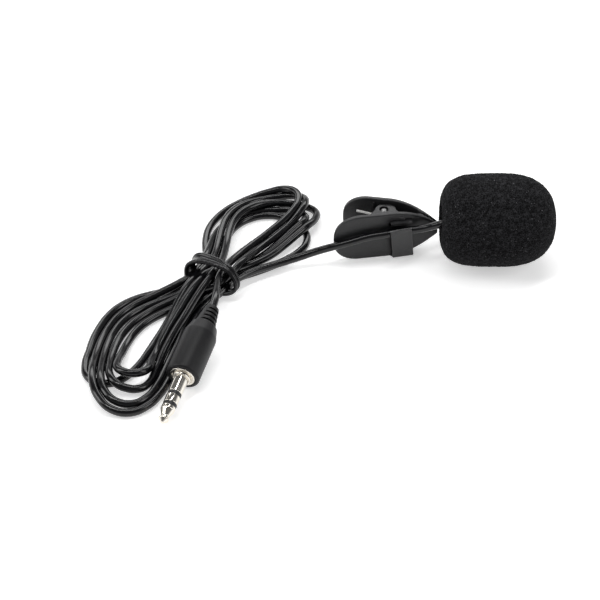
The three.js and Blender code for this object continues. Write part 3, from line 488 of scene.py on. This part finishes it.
def wire_path(points):
    """Each point with two directions square to the line there."""
    path, side = [], None
    for i, point in enumerate(points):
        along = (points[min(i + 1, len(points) - 1)] - points[max(i - 1, 0)]).normalized()
        side = Vector((0, 0, 1)).cross(along) if side is None else side - along * side.dot(along)
        side.normalize()
        path.append((point, side.copy(), along.cross(side)))
    return path


# ------------------------------ windscreen
FOAM_AXIS_Z = 11.85  # height of its axis over the table
FOAM_RADIUS = 11.85
FOAM_WIDEST_X = 14.2
FOAM_REAR = 15.4
FOAM_FRONT = 14.2
FOAM_REAR_POWER = 3.9  # squareness of the outline behind its widest place
FOAM_FRONT_POWER = 2.5
FOAM_LIP = 0.5  # rounding of the bore's rear edge
FOAM_LIP_TURNS = (0.0, 0.4, 0.8, 1.2)
FOAM_BORE = 4.6
FOAM_BORE_END = 22.2
FOAM_CROWN = 0.45  # how much the foam stands up over its round outline
CROWN_START = 1  # from the bore outwards
FOAM_STEPS = 160  # round the outline, before its points are evened out
FOAM_SPACING = 0.25
FOAM_SIDES = 300
FOAM_WELD = 1e-5

CELL = 0.62  # pitch of the foam's cells
CELL_COARSE = 2.6  # size of the broad unevenness, in cells
CELL_FINE = 0.4
CELL_WALL = 0.5  # where a cell's wall stops rising
CELL_LEVEL = 0.22  # the wall value that lies on the outline
COARSE_RELIEF = 0.10
WALL_RELIEF = 0.22
FINE_RELIEF = 0.07
BORE_RELIEF = 0.3  # share of the relief that is left in the bore
BORE_SKIN = 0.05  # what lies this near the bore counts as its wall


def foam_profile():
    """The outline as (x, radius), up the bore, over its rear lip and round to the nose."""
    outline = [(FOAM_BORE_END, 0.0), (FOAM_BORE_END, FOAM_BORE)]
    bore_points = len(outline)
    for i in range(FOAM_STEPS + 1):
        angle = math.pi * i / FOAM_STEPS
        rear = angle < math.pi / 2
        power = 2 / (FOAM_REAR_POWER if rear else FOAM_FRONT_POWER)
        reach = FOAM_REAR if rear else FOAM_FRONT
        along = signed_power(math.cos(angle), power)
        radius = FOAM_RADIUS * abs(math.sin(angle)) ** power
        if rear and radius <= FOAM_BORE + FOAM_LIP:
            continue
        x = FOAM_WIDEST_X - reach * along
        if len(outline) == bore_points:
            outline += [(x + FOAM_LIP * (1 - math.sin(t)), FOAM_BORE + FOAM_LIP * (1 - math.cos(t)))
                        for t in FOAM_LIP_TURNS]
        outline.append((x, max(radius, 0.0)))
    return outline


def cells(point, normal):
    """How far the open cells raise or sink the foam's skin at a point."""
    coarse = noise.noise(point / (CELL * CELL_COARSE))
    distances, _ = noise.voronoi(point / CELL)
    wall = min(distances[1] - distances[0], CELL_WALL)
    fine = noise.noise(point / (CELL * CELL_FINE))
    rise = COARSE_RELIEF * coarse + WALL_RELIEF * (wall - CELL_LEVEL) + FINE_RELIEF * fine
    inside = point.yz.length < FOAM_BORE + BORE_SKIN
    return normal * rise * (BORE_RELIEF if inside else 1.0)


def build_foam(work):
    """The foam with its cells, its upper skin standing a little proud."""
    spin(work, even_out(foam_profile(), FOAM_SPACING), FOAM_SIDES)
    bmesh.ops.recalc_face_normals(work, faces=work.faces)
    work.normal_update()
    moved = [(vertex, vertex.co + cells(vertex.co, vertex.normal)) for vertex in work.verts]
    for vertex, place in moved:
        proud = 0.0
        if place.yz.length > FOAM_BORE + CROWN_START:
            proud = FOAM_CROWN * max(0.0, place.z / FOAM_RADIUS) ** 2
        vertex.co = place + Vector((0, 0, FOAM_AXIS_Z + proud))


def make_windscreen():
    """The foam windscreen, round the microphone's head."""
    mesh = raw("windscreen", build_foam, FOAM_WELD)
    mesh.transform(Matrix.Scale(MM, 4))
    mesh.shade_smooth()
    return piece("windscreen", mesh, foam_finish(), "windscreen", "foam_windscreen")


windscreen = make_windscreen()


# ------------------------------ clip
# Its own frame: x from the pivot towards the nose, y across the jaws, z up from the table.
PIVOT = Vector((-15.4, 3.9, 0))
CLIP_PLACE = Matrix.Translation(PIVOT)
CLIP_WIDTH = 13.5
CLIP_MIDDLE = CLIP_WIDTH / 2

JAW_WALL = 1.25
JAW_NOSE = 14.1
NOSE_HALF = 1.5
NOSE_SHARE = 0.55  # share of the wall that stands outside the middle plane at the nose
NOSE_POWER = 1.15  # how the outer face falls in from the pivot to the nose
FRONT_TAIL = 13.0
REAR_TAIL = 10.4
TAIL_SPREAD = 6.1  # from the middle plane to the outer face at the front jaw's tail
TAIL_POWER = 0.8
PIVOT_SPREAD = 3.95
NARROW_START = 2  # where a jaw starts to get narrower towards the nose
NARROW_POWER = 1.9
EDGE = 0.38  # rounding of the jaws' outer edges
INNER_EDGE = 0.24
EDGE_ROOM = 0.1  # wall left flat between the two roundings
EDGE_STEPS = 5

GRIP_LENGTH = 4.6
GRIP_RAMP = 0.8
GRIP_GAP = 0.15  # from the middle plane to the tops of the teeth
TEETH = 4
TOOTH_DEPTH = 0.35
TOOTH_SLOPE = 2.6  # steepness of a groove's sides

TAIL_STEPS = 22
WALL_STEP = 0.7
WALL_END = 0.9  # the even steps stop this far behind the grip
GRIP_STEPS = 34
LEAF_ACROSS = 12

EAR_TOP = 12.55
EAR_THICKNESS = 1.6
EAR_RADIUS = 2.3
EAR_FLAT = 0.9  # how much longer the front jaw's hump is towards the nose
EAR_FLAT_RISE = 3
EAR_STEPS = 24
EAR_FOOT = 0.5  # depth of the foot in the wall, as a share of the wall
EAR_FOOT_STEPS = 6
EAR_HEART = 0.35  # where the rims lean to, as a share of the way to the foot
EAR_EDGE = 0.3
EAR_EDGE_STEPS = 4
FRONT_FLARE = (2.2, 2.2)  # spread of an ear's foot towards the tail and the nose
REAR_FLARE = (0.2, 0.2)
EAR_ROOM = 0.35  # between a front ear and the rear ear inside it

PIN_RADIUS = 1.0
PIN_HOLE = PIN_RADIUS + 0.22
PIN_SIDES = 40
DRILL_DEPTH = 40

RIB_END = -2.75  # a rib across the inside of the rear jaw, behind its ears
RIB_START = -2.35
RIB_WALL = -2.6  # where the wall that it stands on is measured
RIB_DEPTH = 0.55
RIB_ROOT = 0.5
RIB_LOW = 1.2
RIB_HIGH = CLIP_WIDTH - 1.0


def outer_face(x):
    """How far a jaw's outer face stands from the clip's middle plane."""
    if x < 0:
        return PIVOT_SPREAD + (TAIL_SPREAD - PIVOT_SPREAD) * (-x / FRONT_TAIL)
    return PIVOT_SPREAD + (JAW_WALL * NOSE_SHARE - PIVOT_SPREAD) * (x / JAW_NOSE) ** NOSE_POWER


def inner_face(x):
    """The same for its inner face, which closes to a toothed grip at the nose."""
    grip = JAW_NOSE - GRIP_LENGTH
    open_wall = outer_face(x) - JAW_WALL
    if x < grip - GRIP_RAMP:
        return open_wall
    place = (x - grip) / (GRIP_LENGTH / (TEETH + 1))
    nearest = round(place)
    groove = 0.0
    if 1 <= nearest <= TEETH:
        groove = max(0.0, 1 - abs(place - nearest) * TOOTH_SLOPE)
    closed = GRIP_GAP + TOOTH_DEPTH * groove
    share = min(1.0, (x - grip + GRIP_RAMP) / GRIP_RAMP)
    return open_wall + (closed - open_wall) * share


def half_height(x, tail):
    """Half of a jaw's width there: round at the tail and narrow at the nose."""
    half = CLIP_MIDDLE
    if x < -tail + half:
        run = (x + tail) / half
        return half * math.sqrt(max(0.0, 1 - (1 - run) ** 2)) ** TAIL_POWER
    narrow = max(0.0, (x - NARROW_START) / (JAW_NOSE - NARROW_START)) ** NARROW_POWER
    return half - (half - NOSE_HALF) * narrow


def jaw_stations(tail):
    """Places along a jaw, close together round its tail and at its teeth."""
    xs = [-tail + CLIP_MIDDLE * (1 - math.cos(turn)) for turn in quarter(TAIL_STEPS)]
    x = xs[-1] + WALL_STEP
    while x < JAW_NOSE - GRIP_LENGTH - WALL_END:
        xs.append(x)
        x += WALL_STEP
    start = JAW_NOSE - GRIP_LENGTH - GRIP_RAMP
    return xs + [start + (JAW_NOSE - start) * k / GRIP_STEPS for k in range(GRIP_STEPS + 1)]


def leaf_rim(stations, tail):
    """A jaw's outline from the side: along its top, down its nose and back, and the ways out."""
    top = [Vector((x, half_height(x, tail))) for x in stations]
    nose = [Vector((JAW_NOSE, NOSE_HALF - 2 * NOSE_HALF * j / LEAF_ACROSS))
            for j in range(1, LEAF_ACROSS)]
    rim = top + nose + [Vector((p.x, -p.y)) for p in reversed(top[1:])]
    normals = []
    for k in range(len(rim)):
        along = rim[(k + 1) % len(rim)] - rim[k - 1]
        normals.append(Vector((-along.y, along.x)).normalized())
    return rim, normals


def fill_leaf(work, ring, last, side, face):
    """Fills a jaw's face in columns, from its upper rim down to its lower rim."""
    columns = []
    for i in range(1, last):
        upper, lower = ring[i], ring[len(ring) - i]
        column = [upper]
        for j in range(1, LEAF_ACROSS):
            share = j / LEAF_ACROSS
            x = upper.co.x + (lower.co.x - upper.co.x) * share
            z = upper.co.z + (lower.co.z - upper.co.z) * share
            column.append(work.verts.new((x, side * face(x), z)))
        columns.append(column + [lower])
    columns.append(ring[last:last + LEAF_ACROSS + 1])
    for a, b in zip(columns, columns[1:]):
        for k in range(LEAF_ACROSS):
            work.faces.new((a[k], b[k], b[k + 1], a[k + 1]))
    for k in range(LEAF_ACROSS):
        work.faces.new((ring[0], columns[0][k], columns[0][k + 1]))


def build_leaf(work, side, tail):
    """One jaw's leaf, with rounded edges. `side` is -1 for the front jaw and 1 for the rear."""
    stations = jaw_stations(tail)
    rim, normals = leaf_rim(stations, tail)

    def level(inset, depth, from_inner):
        """The rim drawn in by `inset`, that deep from the leaf's inner or outer face."""
        ring = []
        for point, normal in zip(rim, normals):
            q = point - normal * inset
            x = max(q.x, -tail + inset)
            outer, inner = outer_face(x), inner_face(x)
            depth_here = depth * min(1.0, (outer - inner) / (EDGE + INNER_EDGE + EDGE_ROOM))
            spread = inner + depth_here if from_inner else outer - depth_here
            ring.append(work.verts.new((x, side * spread, CLIP_MIDDLE + q.y)))
        return ring

    turns = quarter(EDGE_STEPS)
    rings = [level(EDGE * (1 - math.sin(t)), EDGE * (1 - math.cos(t)), False) for t in turns]
    rings += [level(INNER_EDGE * (1 - math.sin(t)), INNER_EDGE * (1 - math.cos(t)), True)
              for t in reversed(turns)]
    for a, b in zip(rings, rings[1:]):
        band(work, a, b)
    last = len(stations) - 1
    fill_leaf(work, rings[0], last, side, outer_face)
    fill_leaf(work, rings[-1], last, side, inner_face)


def build_ear(work, side, low, high, flare):
    """A hump round the pivot with rounded rims, whose foot in the wall spreads by `flare`."""
    base = side * (PIVOT_SPREAD - JAW_WALL * EAR_FOOT)
    outline = []
    for k in range(EAR_STEPS + 1):
        angle = math.pi * k / EAR_STEPS
        longer = 0.0
        if side < 0:
            longer = EAR_FLAT * min(1.0, max(0.0, math.cos(angle)) * EAR_FLAT_RISE)
        outline.append(Vector((EAR_RADIUS * math.cos(angle) + longer,
                               -side * EAR_RADIUS * math.sin(angle))))
    tail_foot = Vector((-EAR_RADIUS - flare[0], base))
    nose_foot = Vector((outline[0].x + flare[1], base))
    shares = [k / EAR_FOOT_STEPS for k in range(EAR_FOOT_STEPS + 1)]
    ring = outline + [outline[-1].lerp(tail_foot, share) for share in shares[1:]]
    ring += [nose_foot.lerp(outline[0], share) for share in shares[:-1]]

    levels = [(EAR_EDGE * (1 - math.cos(t)), EAR_EDGE * (1 - math.sin(t)))
              for t in quarter(EAR_EDGE_STEPS)]
    rows = [(low + rise, inset) for rise, inset in levels]
    rows += [(high - rise, inset) for rise, inset in reversed(levels)]
    heart = Vector((0, base * EAR_HEART))
    capped(work, [[work.verts.new((*(point + (heart - point).normalized() * inset), z))
                   for point in ring] for z, inset in rows])


def build_drill(work):
    """A rod as wide as the hole for the pin."""
    bmesh.ops.create_cone(work, cap_ends=True, segments=PIN_SIDES, radius1=PIN_HOLE,
                          radius2=PIN_HOLE, depth=DRILL_DEPTH)


def eared_leaf(side, tail, inset, flare):
    """A drilled jaw, with its two ears that far inside the clip's outer ears."""
    jaw = raw("leaf", lambda work: build_leaf(work, side, tail))
    bottom, top = CLIP_WIDTH - EAR_TOP + inset, EAR_TOP - inset
    for low, high in ((bottom, bottom + EAR_THICKNESS), (top - EAR_THICKNESS, top)):
        ear = raw("ear", lambda work: build_ear(work, side, low, high, flare))
        jaw = combined(jaw, ear, "UNION")
    return combined(jaw, raw("drill", build_drill), "DIFFERENCE")


# The cable retainer's own frame: x along the front jaw's outer face, y in from it, z up.
RETAINER_X = 4.3  # from the pivot to its middle
RETAINER_WIDTH = 5.6
RETAINER_SHEET = 0.7
RETAINER_TOP = 10.3
RETAINER_BAR = 10.6  # height of the slot that its end comes out of
PANEL_GAP = 2.9  # from the jaw to the top of the front panel
PANEL_FOOT_GAP = 0.7
PANEL_BEND = 0.75
PANEL_MIDDLE = 5
BACK_GAP = 0.3  # between the jaw and the length inside it
BACK_BEND = 0.6
BEND_STEPS = 6
BAR_REACH = 1.2  # how far the strip's end stands out of the slot
RETAINER_LEAN = 0.15  # sideways shift of the front panel for each millimetre of height
STRIP_STEP = 0.8
STRIP_EDGE = 0.2
STRIP_EDGE_STEPS = 4
EAR_SIDE = 2.7  # where the front ear's foot meets the strip, from the pivot
EAR_SIDE_ROOM = 0.45

SLOT_ROOM = 0.3  # at each side of the strip
SLOT_BELOW = 0.75
SLOT_ABOVE = 0.08
NOTCH_TAIL = 0.6  # how much shorter the lower notch is at the tail's side
NOTCH_NOSE = 0.75
NOTCH_ROOM = 0.15
CUT_REACH = 4  # how far a cutter goes past the wall
BELOW_TABLE = -1

RETAINER_SLOPE = math.atan2(outer_face(RETAINER_X - RETAINER_WIDTH / 2)
                            - outer_face(RETAINER_X + RETAINER_WIDTH / 2), RETAINER_WIDTH)
FACE_PLACE = (Matrix.Translation((RETAINER_X, -outer_face(RETAINER_X), 0))
              @ Matrix.Rotation(RETAINER_SLOPE, 4, "Z"))


def make_front_jaw():
    """The front jaw, with a slot and a notch for the cable retainer."""
    jaw = eared_leaf(-1, FRONT_TAIL, 0.0, FRONT_FLARE)
    half = RETAINER_WIDTH / 2 + SLOT_ROOM
    slot = block((-half, -CUT_REACH, RETAINER_BAR - SLOT_BELOW),
                 (half, CUT_REACH, RETAINER_BAR + RETAINER_SHEET + SLOT_ABOVE))
    notch = block((-half + NOTCH_TAIL, -CUT_REACH, BELOW_TABLE),
                  (half + NOTCH_NOSE, CUT_REACH, RETAINER_SHEET + NOTCH_ROOM))
    for cutter in (slot, notch):
        cutter.transform(FACE_PLACE)
        jaw = combined(jaw, cutter, "DIFFERENCE")
    piece("clip_front_jaw", finished(jaw, CLIP_PLACE), CLIP_PLASTIC, "microphone",
          "front_jaw")


def make_rear_jaw():
    """The rear jaw, whose ears lie inside the front jaw's."""
    jaw = eared_leaf(1, REAR_TAIL, EAR_THICKNESS + EAR_ROOM, REAR_FLARE)
    face = outer_face(RIB_WALL) - JAW_WALL
    rib = block((RIB_END, face - RIB_DEPTH, RIB_LOW), (RIB_START, face + RIB_ROOT, RIB_HIGH))
    jaw = combined(jaw, rib, "UNION")
    piece("clip_rear_jaw", finished(jaw, CLIP_PLACE), CLIP_PLASTIC, "rear_jaw",
          "rear_jaw")


def strip_section():
    """The strip's cross-section, with rounded corners."""
    half, sheet = RETAINER_WIDTH / 2, RETAINER_SHEET / 2
    section = []
    for cx, cy, start in ((half, sheet, 0), (-half, sheet, 90), (-half, -sheet, 180),
                          (half, -sheet, 270)):
        for k in range(STRIP_EDGE_STEPS + 1):
            angle = math.radians(start + 90 * k / STRIP_EDGE_STEPS)
            section.append((cx - math.copysign(STRIP_EDGE, cx) + STRIP_EDGE * math.cos(angle),
                            cy - math.copysign(STRIP_EDGE, cy) + STRIP_EDGE * math.sin(angle)))
    return section


def make_retainer():
    """A strip that leans down over the lead, under the jaw, up its inside and out of the slot."""
    sheet = RETAINER_SHEET / 2
    inside = JAW_WALL + BACK_GAP + sheet
    line = arc_profile([
        (-PANEL_GAP - sheet, RETAINER_TOP, 0),
        (-PANEL_FOOT_GAP - sheet, sheet, PANEL_BEND),
        (inside, sheet, BACK_BEND),
        (inside, RETAINER_BAR + sheet, BACK_BEND),
        (-BAR_REACH, RETAINER_BAR + sheet, 0),
    ], BEND_STEPS)
    dense = [line[0]]
    for a, b in zip(line, line[1:]):
        count = max(1, round((b - a).length / STRIP_STEP))
        dense += [a.lerp(b, k / count) for k in range(1, count + 1)]
    wide = Vector((1, 0, 0))
    path = []
    for i, point in enumerate(dense):
        along = dense[min(i + 1, len(dense) - 1)] - dense[max(i - 1, 0)]
        flat = Vector((0, along.x, along.y)).normalized()
        on_panel = point.x < 0 and point.y < RETAINER_BAR
        lean = -RETAINER_LEAN * (point.y - PANEL_MIDDLE) if on_panel else 0.0
        path.append((Vector((lean, point.x, point.y)), wide, flat.cross(wide)))
    strip = raw("strip", lambda work: sweep(work, path, strip_section()))
    relief = block((-RETAINER_WIDTH / 2 - 2, JAW_WALL - BACK_GAP, BELOW_TABLE),
                   (EAR_SIDE - RETAINER_X + EAR_SIDE_ROOM, CUT_REACH, RETAINER_BAR + 2))
    strip = combined(strip, relief, "DIFFERENCE")
    piece("clip_retainer", finished(strip, CLIP_PLACE @ FACE_PLACE), RETAINER_PLASTIC,
          "microphone", "cable_retainer")


def make_pin():
    """The pin, with domed ends a little inside the outer ears."""
    top, bottom = EAR_TOP - 0.05, CLIP_WIDTH - EAR_TOP + 0.05
    rim = PIN_RADIUS * 0.6
    mesh = lathe([
        (bottom, 0, 0), (bottom + 0.08, rim, 0.5), (bottom + 0.5, PIN_RADIUS, 0.2),
        (top - 0.5, PIN_RADIUS, 0.2), (top - 0.08, rim, 0.5), (top, 0, 0)], PIN_SIDES)
    upright = CLIP_PLACE @ Matrix.Rotation(-math.pi / 2, 4, "Y")
    piece("clip_pin", finished(mesh, upright, 60), PIN_STEEL, "microphone", "pivot_pin")


SPRING_RADIUS = 1.9  # to the middle of the wire
SPRING_WIRE = 0.31
SPRING_WIRE_SIDES = 12
SPRING_TURNS = 5
SPRING_STEPS = 28  # in each turn
SPRING_LOW = 4.4
SPRING_HIGH = 8.9


def make_spring():
    """Turns round the pin, with a leg out to each jaw's tail."""
    low, high = SPRING_LOW, SPRING_HIGH
    points = [Vector((-6.3, -3.35, low - 0.3)), Vector((-5.9, -3.3, low - 0.25)),
              Vector((-3, -2.7, low - 0.1))]
    for k in range(SPRING_TURNS * SPRING_STEPS + SPRING_STEPS // 2 + 1):
        angle = -math.pi / 2 - 2 * math.pi * k / SPRING_STEPS
        share = k / (SPRING_TURNS * SPRING_STEPS + SPRING_STEPS / 2)
        points.append(Vector((SPRING_RADIUS * math.cos(angle), SPRING_RADIUS * math.sin(angle),
                              low + (high - low) * share)))
    points += [Vector((-3, 2.45, high + 0.3)), Vector((-5.9, 3.1, high + 0.65)),
               Vector((-6.9, 3.3, high + 0.75))]
    section = circle(SPRING_WIRE, SPRING_WIRE_SIDES)
    mesh = raw("spring", lambda work: sweep(work, wire_path(points), section))
    piece("clip_spring", finished(mesh, CLIP_PLACE, 60), STEEL, "microphone",
          "torsion_spring")


make_front_jaw()
make_rear_jaw()
make_retainer()
make_pin()
make_spring()


# ------------------------------ tie
HANK = Vector((-59.0, -12.4, 0))
HANK_ANGLE = math.radians(63)
HANK_ALONG = Vector((math.cos(HANK_ANGLE), math.sin(HANK_ANGLE), 0))
HANK_ACROSS = Vector((-HANK_ALONG.y, HANK_ALONG.x, 0))

TIE_MIDDLE = (-0.35, 3.75)  # across, up
TIE_REACH = (7.0, 4.35)  # half axes of the loop round the runs of cord
TIE_SQUARE = (3.2, 2.1)  # how square the loop is on the left and on the right, where 2 is round
TIE_STEPS = 140
TIE_LOW_LIFT = 0.6  # share of the lower right quarter's depth
TIE_RIDGE = 0.56  # radius of the two ridges along the strap's edges
TIE_RIDGE_STEPS = 8
TIE_WEB = 0.2
TIE_NARROW = 1.12  # from the strap's middle to each ridge where it is gathered, in ridges
TIE_SPREAD = 1.3  # what is added where it is spread
TIE_SPREAD_POWER = 1.5
TIE_SPREAD_AT = 0.35  # angle round the loop at which it is widest
TIE_SPREAD_FALL = 1.25
TIE_AHEAD = 0.3  # along the hank, at the top
TIE_BACK = (1.5, 3.0)  # how far it falls back under the left and under the right side


def strap_section(apart):
    """Two round ridges that far to each side, joined by a thin web."""
    start = math.pi - math.asin(TIE_WEB / TIE_RIDGE)
    turns = [start * k / TIE_RIDGE_STEPS for k in range(-TIE_RIDGE_STEPS, TIE_RIDGE_STEPS + 1)]
    right = [(apart + TIE_RIDGE * math.cos(turn), TIE_RIDGE * math.sin(turn)) for turn in turns]
    return right + [(-s, -t) for s, t in right]


def strap_ring(work, angle):
    """The strap's section at that angle round the hank."""
    c, s = math.cos(angle), math.sin(angle)
    hand = 0 if c > 0 else 1
    power = 2 / TIE_SQUARE[hand]
    lift = TIE_LOW_LIFT if c < 0 and s < 0 else 1.0
    across = TIE_MIDDLE[0] + TIE_REACH[0] * signed_power(c, power)
    up = max(TIE_MIDDLE[1] + TIE_REACH[1] * signed_power(s, power) * lift, TIE_RIDGE)
    normal = Vector((signed_power(c, 2 - power) / TIE_REACH[0],
                     signed_power(s, 2 - power) / TIE_REACH[1])).normalized()
    past = (angle + math.pi) % (2 * math.pi) - math.pi - TIE_SPREAD_AT
    spread = 0.5 + 0.5 * math.cos(max(-math.pi, past * TIE_SPREAD_FALL))
    apart = TIE_RIDGE * TIE_NARROW + TIE_SPREAD * spread ** TIE_SPREAD_POWER
    along = TIE_AHEAD - TIE_BACK[hand] * ((1 - s) / 2)
    centre = HANK + HANK_ALONG * along + HANK_ACROSS * across + Vector((0, 0, up))
    outward = HANK_ACROSS * normal.x + Vector((0, 0, normal.y))
    return [work.verts.new(centre + HANK_ALONG * side + outward * out)
            for side, out in strap_section(apart)]


def build_tie(work):
    """A ribbed strap, spread over the hank's left shoulder and gathered over its right side."""
    rings = [strap_ring(work, 2 * math.pi * i / TIE_STEPS) for i in range(TIE_STEPS)]
    for i, ring in enumerate(rings):
        band(work, ring, rings[(i + 1) % TIE_STEPS])


piece("tie", finished(raw("tie", build_tie), Matrix.Identity(4), 70), TIE_PLASTIC, "microphone",
      "hank_tie")


# ------------------------------ plug
# Its own frame: x from the grip's front face out along the pin.
PLUG_PLACE = (Matrix.Translation((-64.9, -51.0, 4.25))
              @ Matrix.Rotation(math.radians(-107), 4, "Z")
              @ Matrix.Rotation(math.radians(9), 4, "Y"))
PLUG_SIDES = 96
PLUG_RADIUS = 4.15
PLUG_LENGTH = 16.0
PLUG_SOCKET = (1.0, 3.25)  # depth and radius of the seat of the flange
RELIEF_LENGTH = 6.2
RELIEF_SLOTS = 4
RELIEF_PITCH = RELIEF_LENGTH / 4.7
RELIEF_START = 0.62  # from the grip to the first slot, in pitches
RELIEF_SIDES = ((-50, 0.0), (130, 0.5))  # turn of each row of slots, and its shift in pitches
RELIEF_SLOT = 0.27  # half of a slot's width
RELIEF_CORE = 1.05  # from the axis to a slot's floor
RELIEF_END = 0.5
RELIEF_CUT = 6

PIN_BARREL = 1.75
INSULATOR_RADIUS = PIN_BARREL - 0.06
SLEEVE_END = 5.2
RING_START = 6.2
RING_END = 8.4
TIP_START = 9.4
PIN_END = 14.0


def plug_piece(name, mesh, material, node, crease=50.0):
    """A piece that belongs to the plug."""
    piece(name, finished(mesh, PLUG_PLACE, crease), material, "microphone", node)


def make_grip():
    """The moulded grip, whose strain relief is slotted from two sides in turn."""
    rear = -PLUG_LENGTH
    relief_end = rear - RELIEF_LENGTH
    depth, seat = PLUG_SOCKET
    body = lathe([
        (relief_end, 0, 0), (relief_end, 1.75, 0.35), (rear - 0.1, 2.75, 0.25),
        (rear, 3.3, 0.45), (rear + 3.2, PLUG_RADIUS, 2.2), (0, PLUG_RADIUS, 0.7),
        (0, seat, 0.12), (-depth, seat, 0.1), (-depth, 0, 0)], PLUG_SIDES)
    for i in range(RELIEF_SLOTS):
        for turn, shift in RELIEF_SIDES:
            x = rear - (RELIEF_START + shift + i) * RELIEF_PITCH
            if x < relief_end + RELIEF_END:
                continue
            slot = block((x - RELIEF_SLOT, -RELIEF_CUT, RELIEF_CORE),
                         (x + RELIEF_SLOT, RELIEF_CUT, RELIEF_CUT))
            slot.transform(Matrix.Rotation(math.radians(turn), 4, "X"))
            body = combined(body, slot, "DIFFERENCE")
    plug_piece("plug_grip", body, PLUG_RUBBER, "plug_overmould", 40)


def make_insulator(name, start, end, node):
    """A black ring between two contacts."""
    mesh = lathe([(start, 0, 0), (start, INSULATOR_RADIUS, 0.03), (end, INSULATOR_RADIUS, 0.03),
                  (end, 0, 0)])
    plug_piece(name, mesh, BLACK_RING, node)


def make_contact(name, outline, node):
    """A plated contact, from its outline."""
    plug_piece(name, lathe(outline), NICKEL, node)


make_grip()
make_contact("plug_shell", [
    (-0.9, 0, 0), (-0.9, 3.1, 0.1), (0.02, 3.1, 0.22), (0.02, 2.55, 0.1), (-0.16, 2.45, 0.05),
    (-0.16, 2.32, 0.04), (0.7, 2.3, 0.22), (0.7, 1.95, 0.05), (0.62, 1.86, 0.03),
    (0.62, PIN_BARREL, 0.05), (SLEEVE_END, PIN_BARREL, 0.12), (SLEEVE_END, 0, 0)], "plug_sleeve")
make_insulator("plug_ring_rear", SLEEVE_END, RING_START, "rear_insulator")
make_contact("plug_ring_contact", [
    (RING_START, 0, 0), (RING_START, PIN_BARREL, 0.12), (RING_END, PIN_BARREL, 0.12),
    (RING_END, 0, 0)], "ring_contact")
make_insulator("plug_ring_front", RING_END, TIP_START, "front_insulator")
make_contact("plug_tip", [
    (TIP_START, 0, 0), (TIP_START, PIN_BARREL, 0.12), (10.3, PIN_BARREL, 0.4),
    (12.05, 1.02, 0.35), (12.45, 1.02, 0.2), (13.0, 1.45, 0.3), (PIN_END, 0.42, 0.3),
    (PIN_END, 0, 0)], "tip_contact")

# ------------------------------ floor and light, in metres
FLOOR_REACH = 1.6
FLOOR_COLOR = (0.86, 0.86, 0.86, 1)
FLOOR_LIFT = 0.5  # glow where it is seen, so that it shows white round the shadow
WORLD_LIGHT = 0.15
SKY_WHITE_TO = 0.12  # up to this height on the unit sphere the seen sky is white
SKY_DARK_FROM = 0.36
LAMP_AIM = Vector((-0.03, -0.01, 0))
LAMPS = (  # name, place, size and watts
    ("back_light", (-0.05, 0.66, 0.52), (1.0, 0.22), 2.9),
    ("top_light", (-0.08, 0.06, 0.80), (0.9, 0.06), 2.6),
    ("left_light", (-0.62, -0.05, 0.40), (0.25, 0.5), 1.7),
    ("right_light", (0.55, -0.15, 0.42), (0.22, 0.5), 1.3),
)


def seen_directly(owner, unseen, seen):
    """A node with the value `seen` where the camera, gloss or glass looks, and else `unseen`."""
    rays = add(owner, "ShaderNodeLightPath")
    last, out = rays, "Is Camera Ray"
    for kind in ("Is Glossy Ray", "Is Transmission Ray"):
        either = add(owner, "ShaderNodeMath", operation="MAXIMUM")
        wire(owner, last, out, either, 0)
        wire(owner, rays, kind, either, 1)
        last, out = either, 0
    return remap(owner, last, out, To_Min=unseen, To_Max=seen)


def make_floor():
    """A plain pale floor that shows white and keeps the object's shadow."""
    mesh = bpy.data.meshes.new("floor")
    corners = ((-1, -1), (1, -1), (1, 1), (-1, 1))
    mesh.from_pydata([(FLOOR_REACH * x, FLOOR_REACH * y, 0) for x, y in corners], [],
                     [(0, 1, 2, 3)])
    material = bpy.data.materials.new("floor")
    material.use_nodes = True
    material.node_tree.nodes.clear()
    diffuse = add(material, "ShaderNodeBsdfDiffuse", Color=FLOOR_COLOR)
    glow = add(material, "ShaderNodeEmission")
    both = add(material, "ShaderNodeAddShader")
    out = add(material, "ShaderNodeOutputMaterial")
    wire(material, seen_directly(material, 0.0, FLOOR_LIFT), "Result", glow, "Strength")
    wire(material, diffuse, 0, both, 0)
    wire(material, glow, 0, both, 1)
    wire(material, both, 0, out, "Surface")
    mesh.materials.append(material)
    floor = bpy.data.objects.new("floor", mesh)
    scene.collection.objects.link(floor)


def make_world():
    """Dim light on the object. The sky that is seen or mirrored is white, and darker overhead."""
    world = bpy.data.worlds.new("world")
    world.use_nodes = True
    back = world.node_tree.nodes["Background"]
    back.inputs["Color"].default_value = (1, 1, 1, 1)
    place = add(world, "ShaderNodeTexCoord")
    parts = add(world, "ShaderNodeSeparateXYZ")
    wire(world, place, "Generated", parts, "Vector")
    sky = remap(world, parts, "Z", From_Min=SKY_WHITE_TO, From_Max=SKY_DARK_FROM,
                To_Min=1.0, To_Max=WORLD_LIGHT)
    level = seen_directly(world, WORLD_LIGHT, 1.0)
    wire(world, sky, "Result", level, "To Max")
    wire(world, level, "Result", back, "Strength")
    scene.world = world


def softbox(name, place, size, power):
    """A rectangular lamp that faces the middle of the object."""
    data = bpy.data.lights.new(name, "AREA")
    data.shape = "RECTANGLE"
    data.size, data.size_y = size
    data.energy = power
    lamp = bpy.data.objects.new(name, data)
    lamp.location = place
    aim = LAMP_AIM - lamp.location
    lamp.rotation_euler = aim.to_track_quat("-Z", "Y").to_euler()
    scene.collection.objects.link(lamp)


make_floor()
make_world()
for lamp in LAMPS:
    softbox(*lamp)
scene.view_settings.view_transform = "Standard"

bpy.context.view_layer.update()
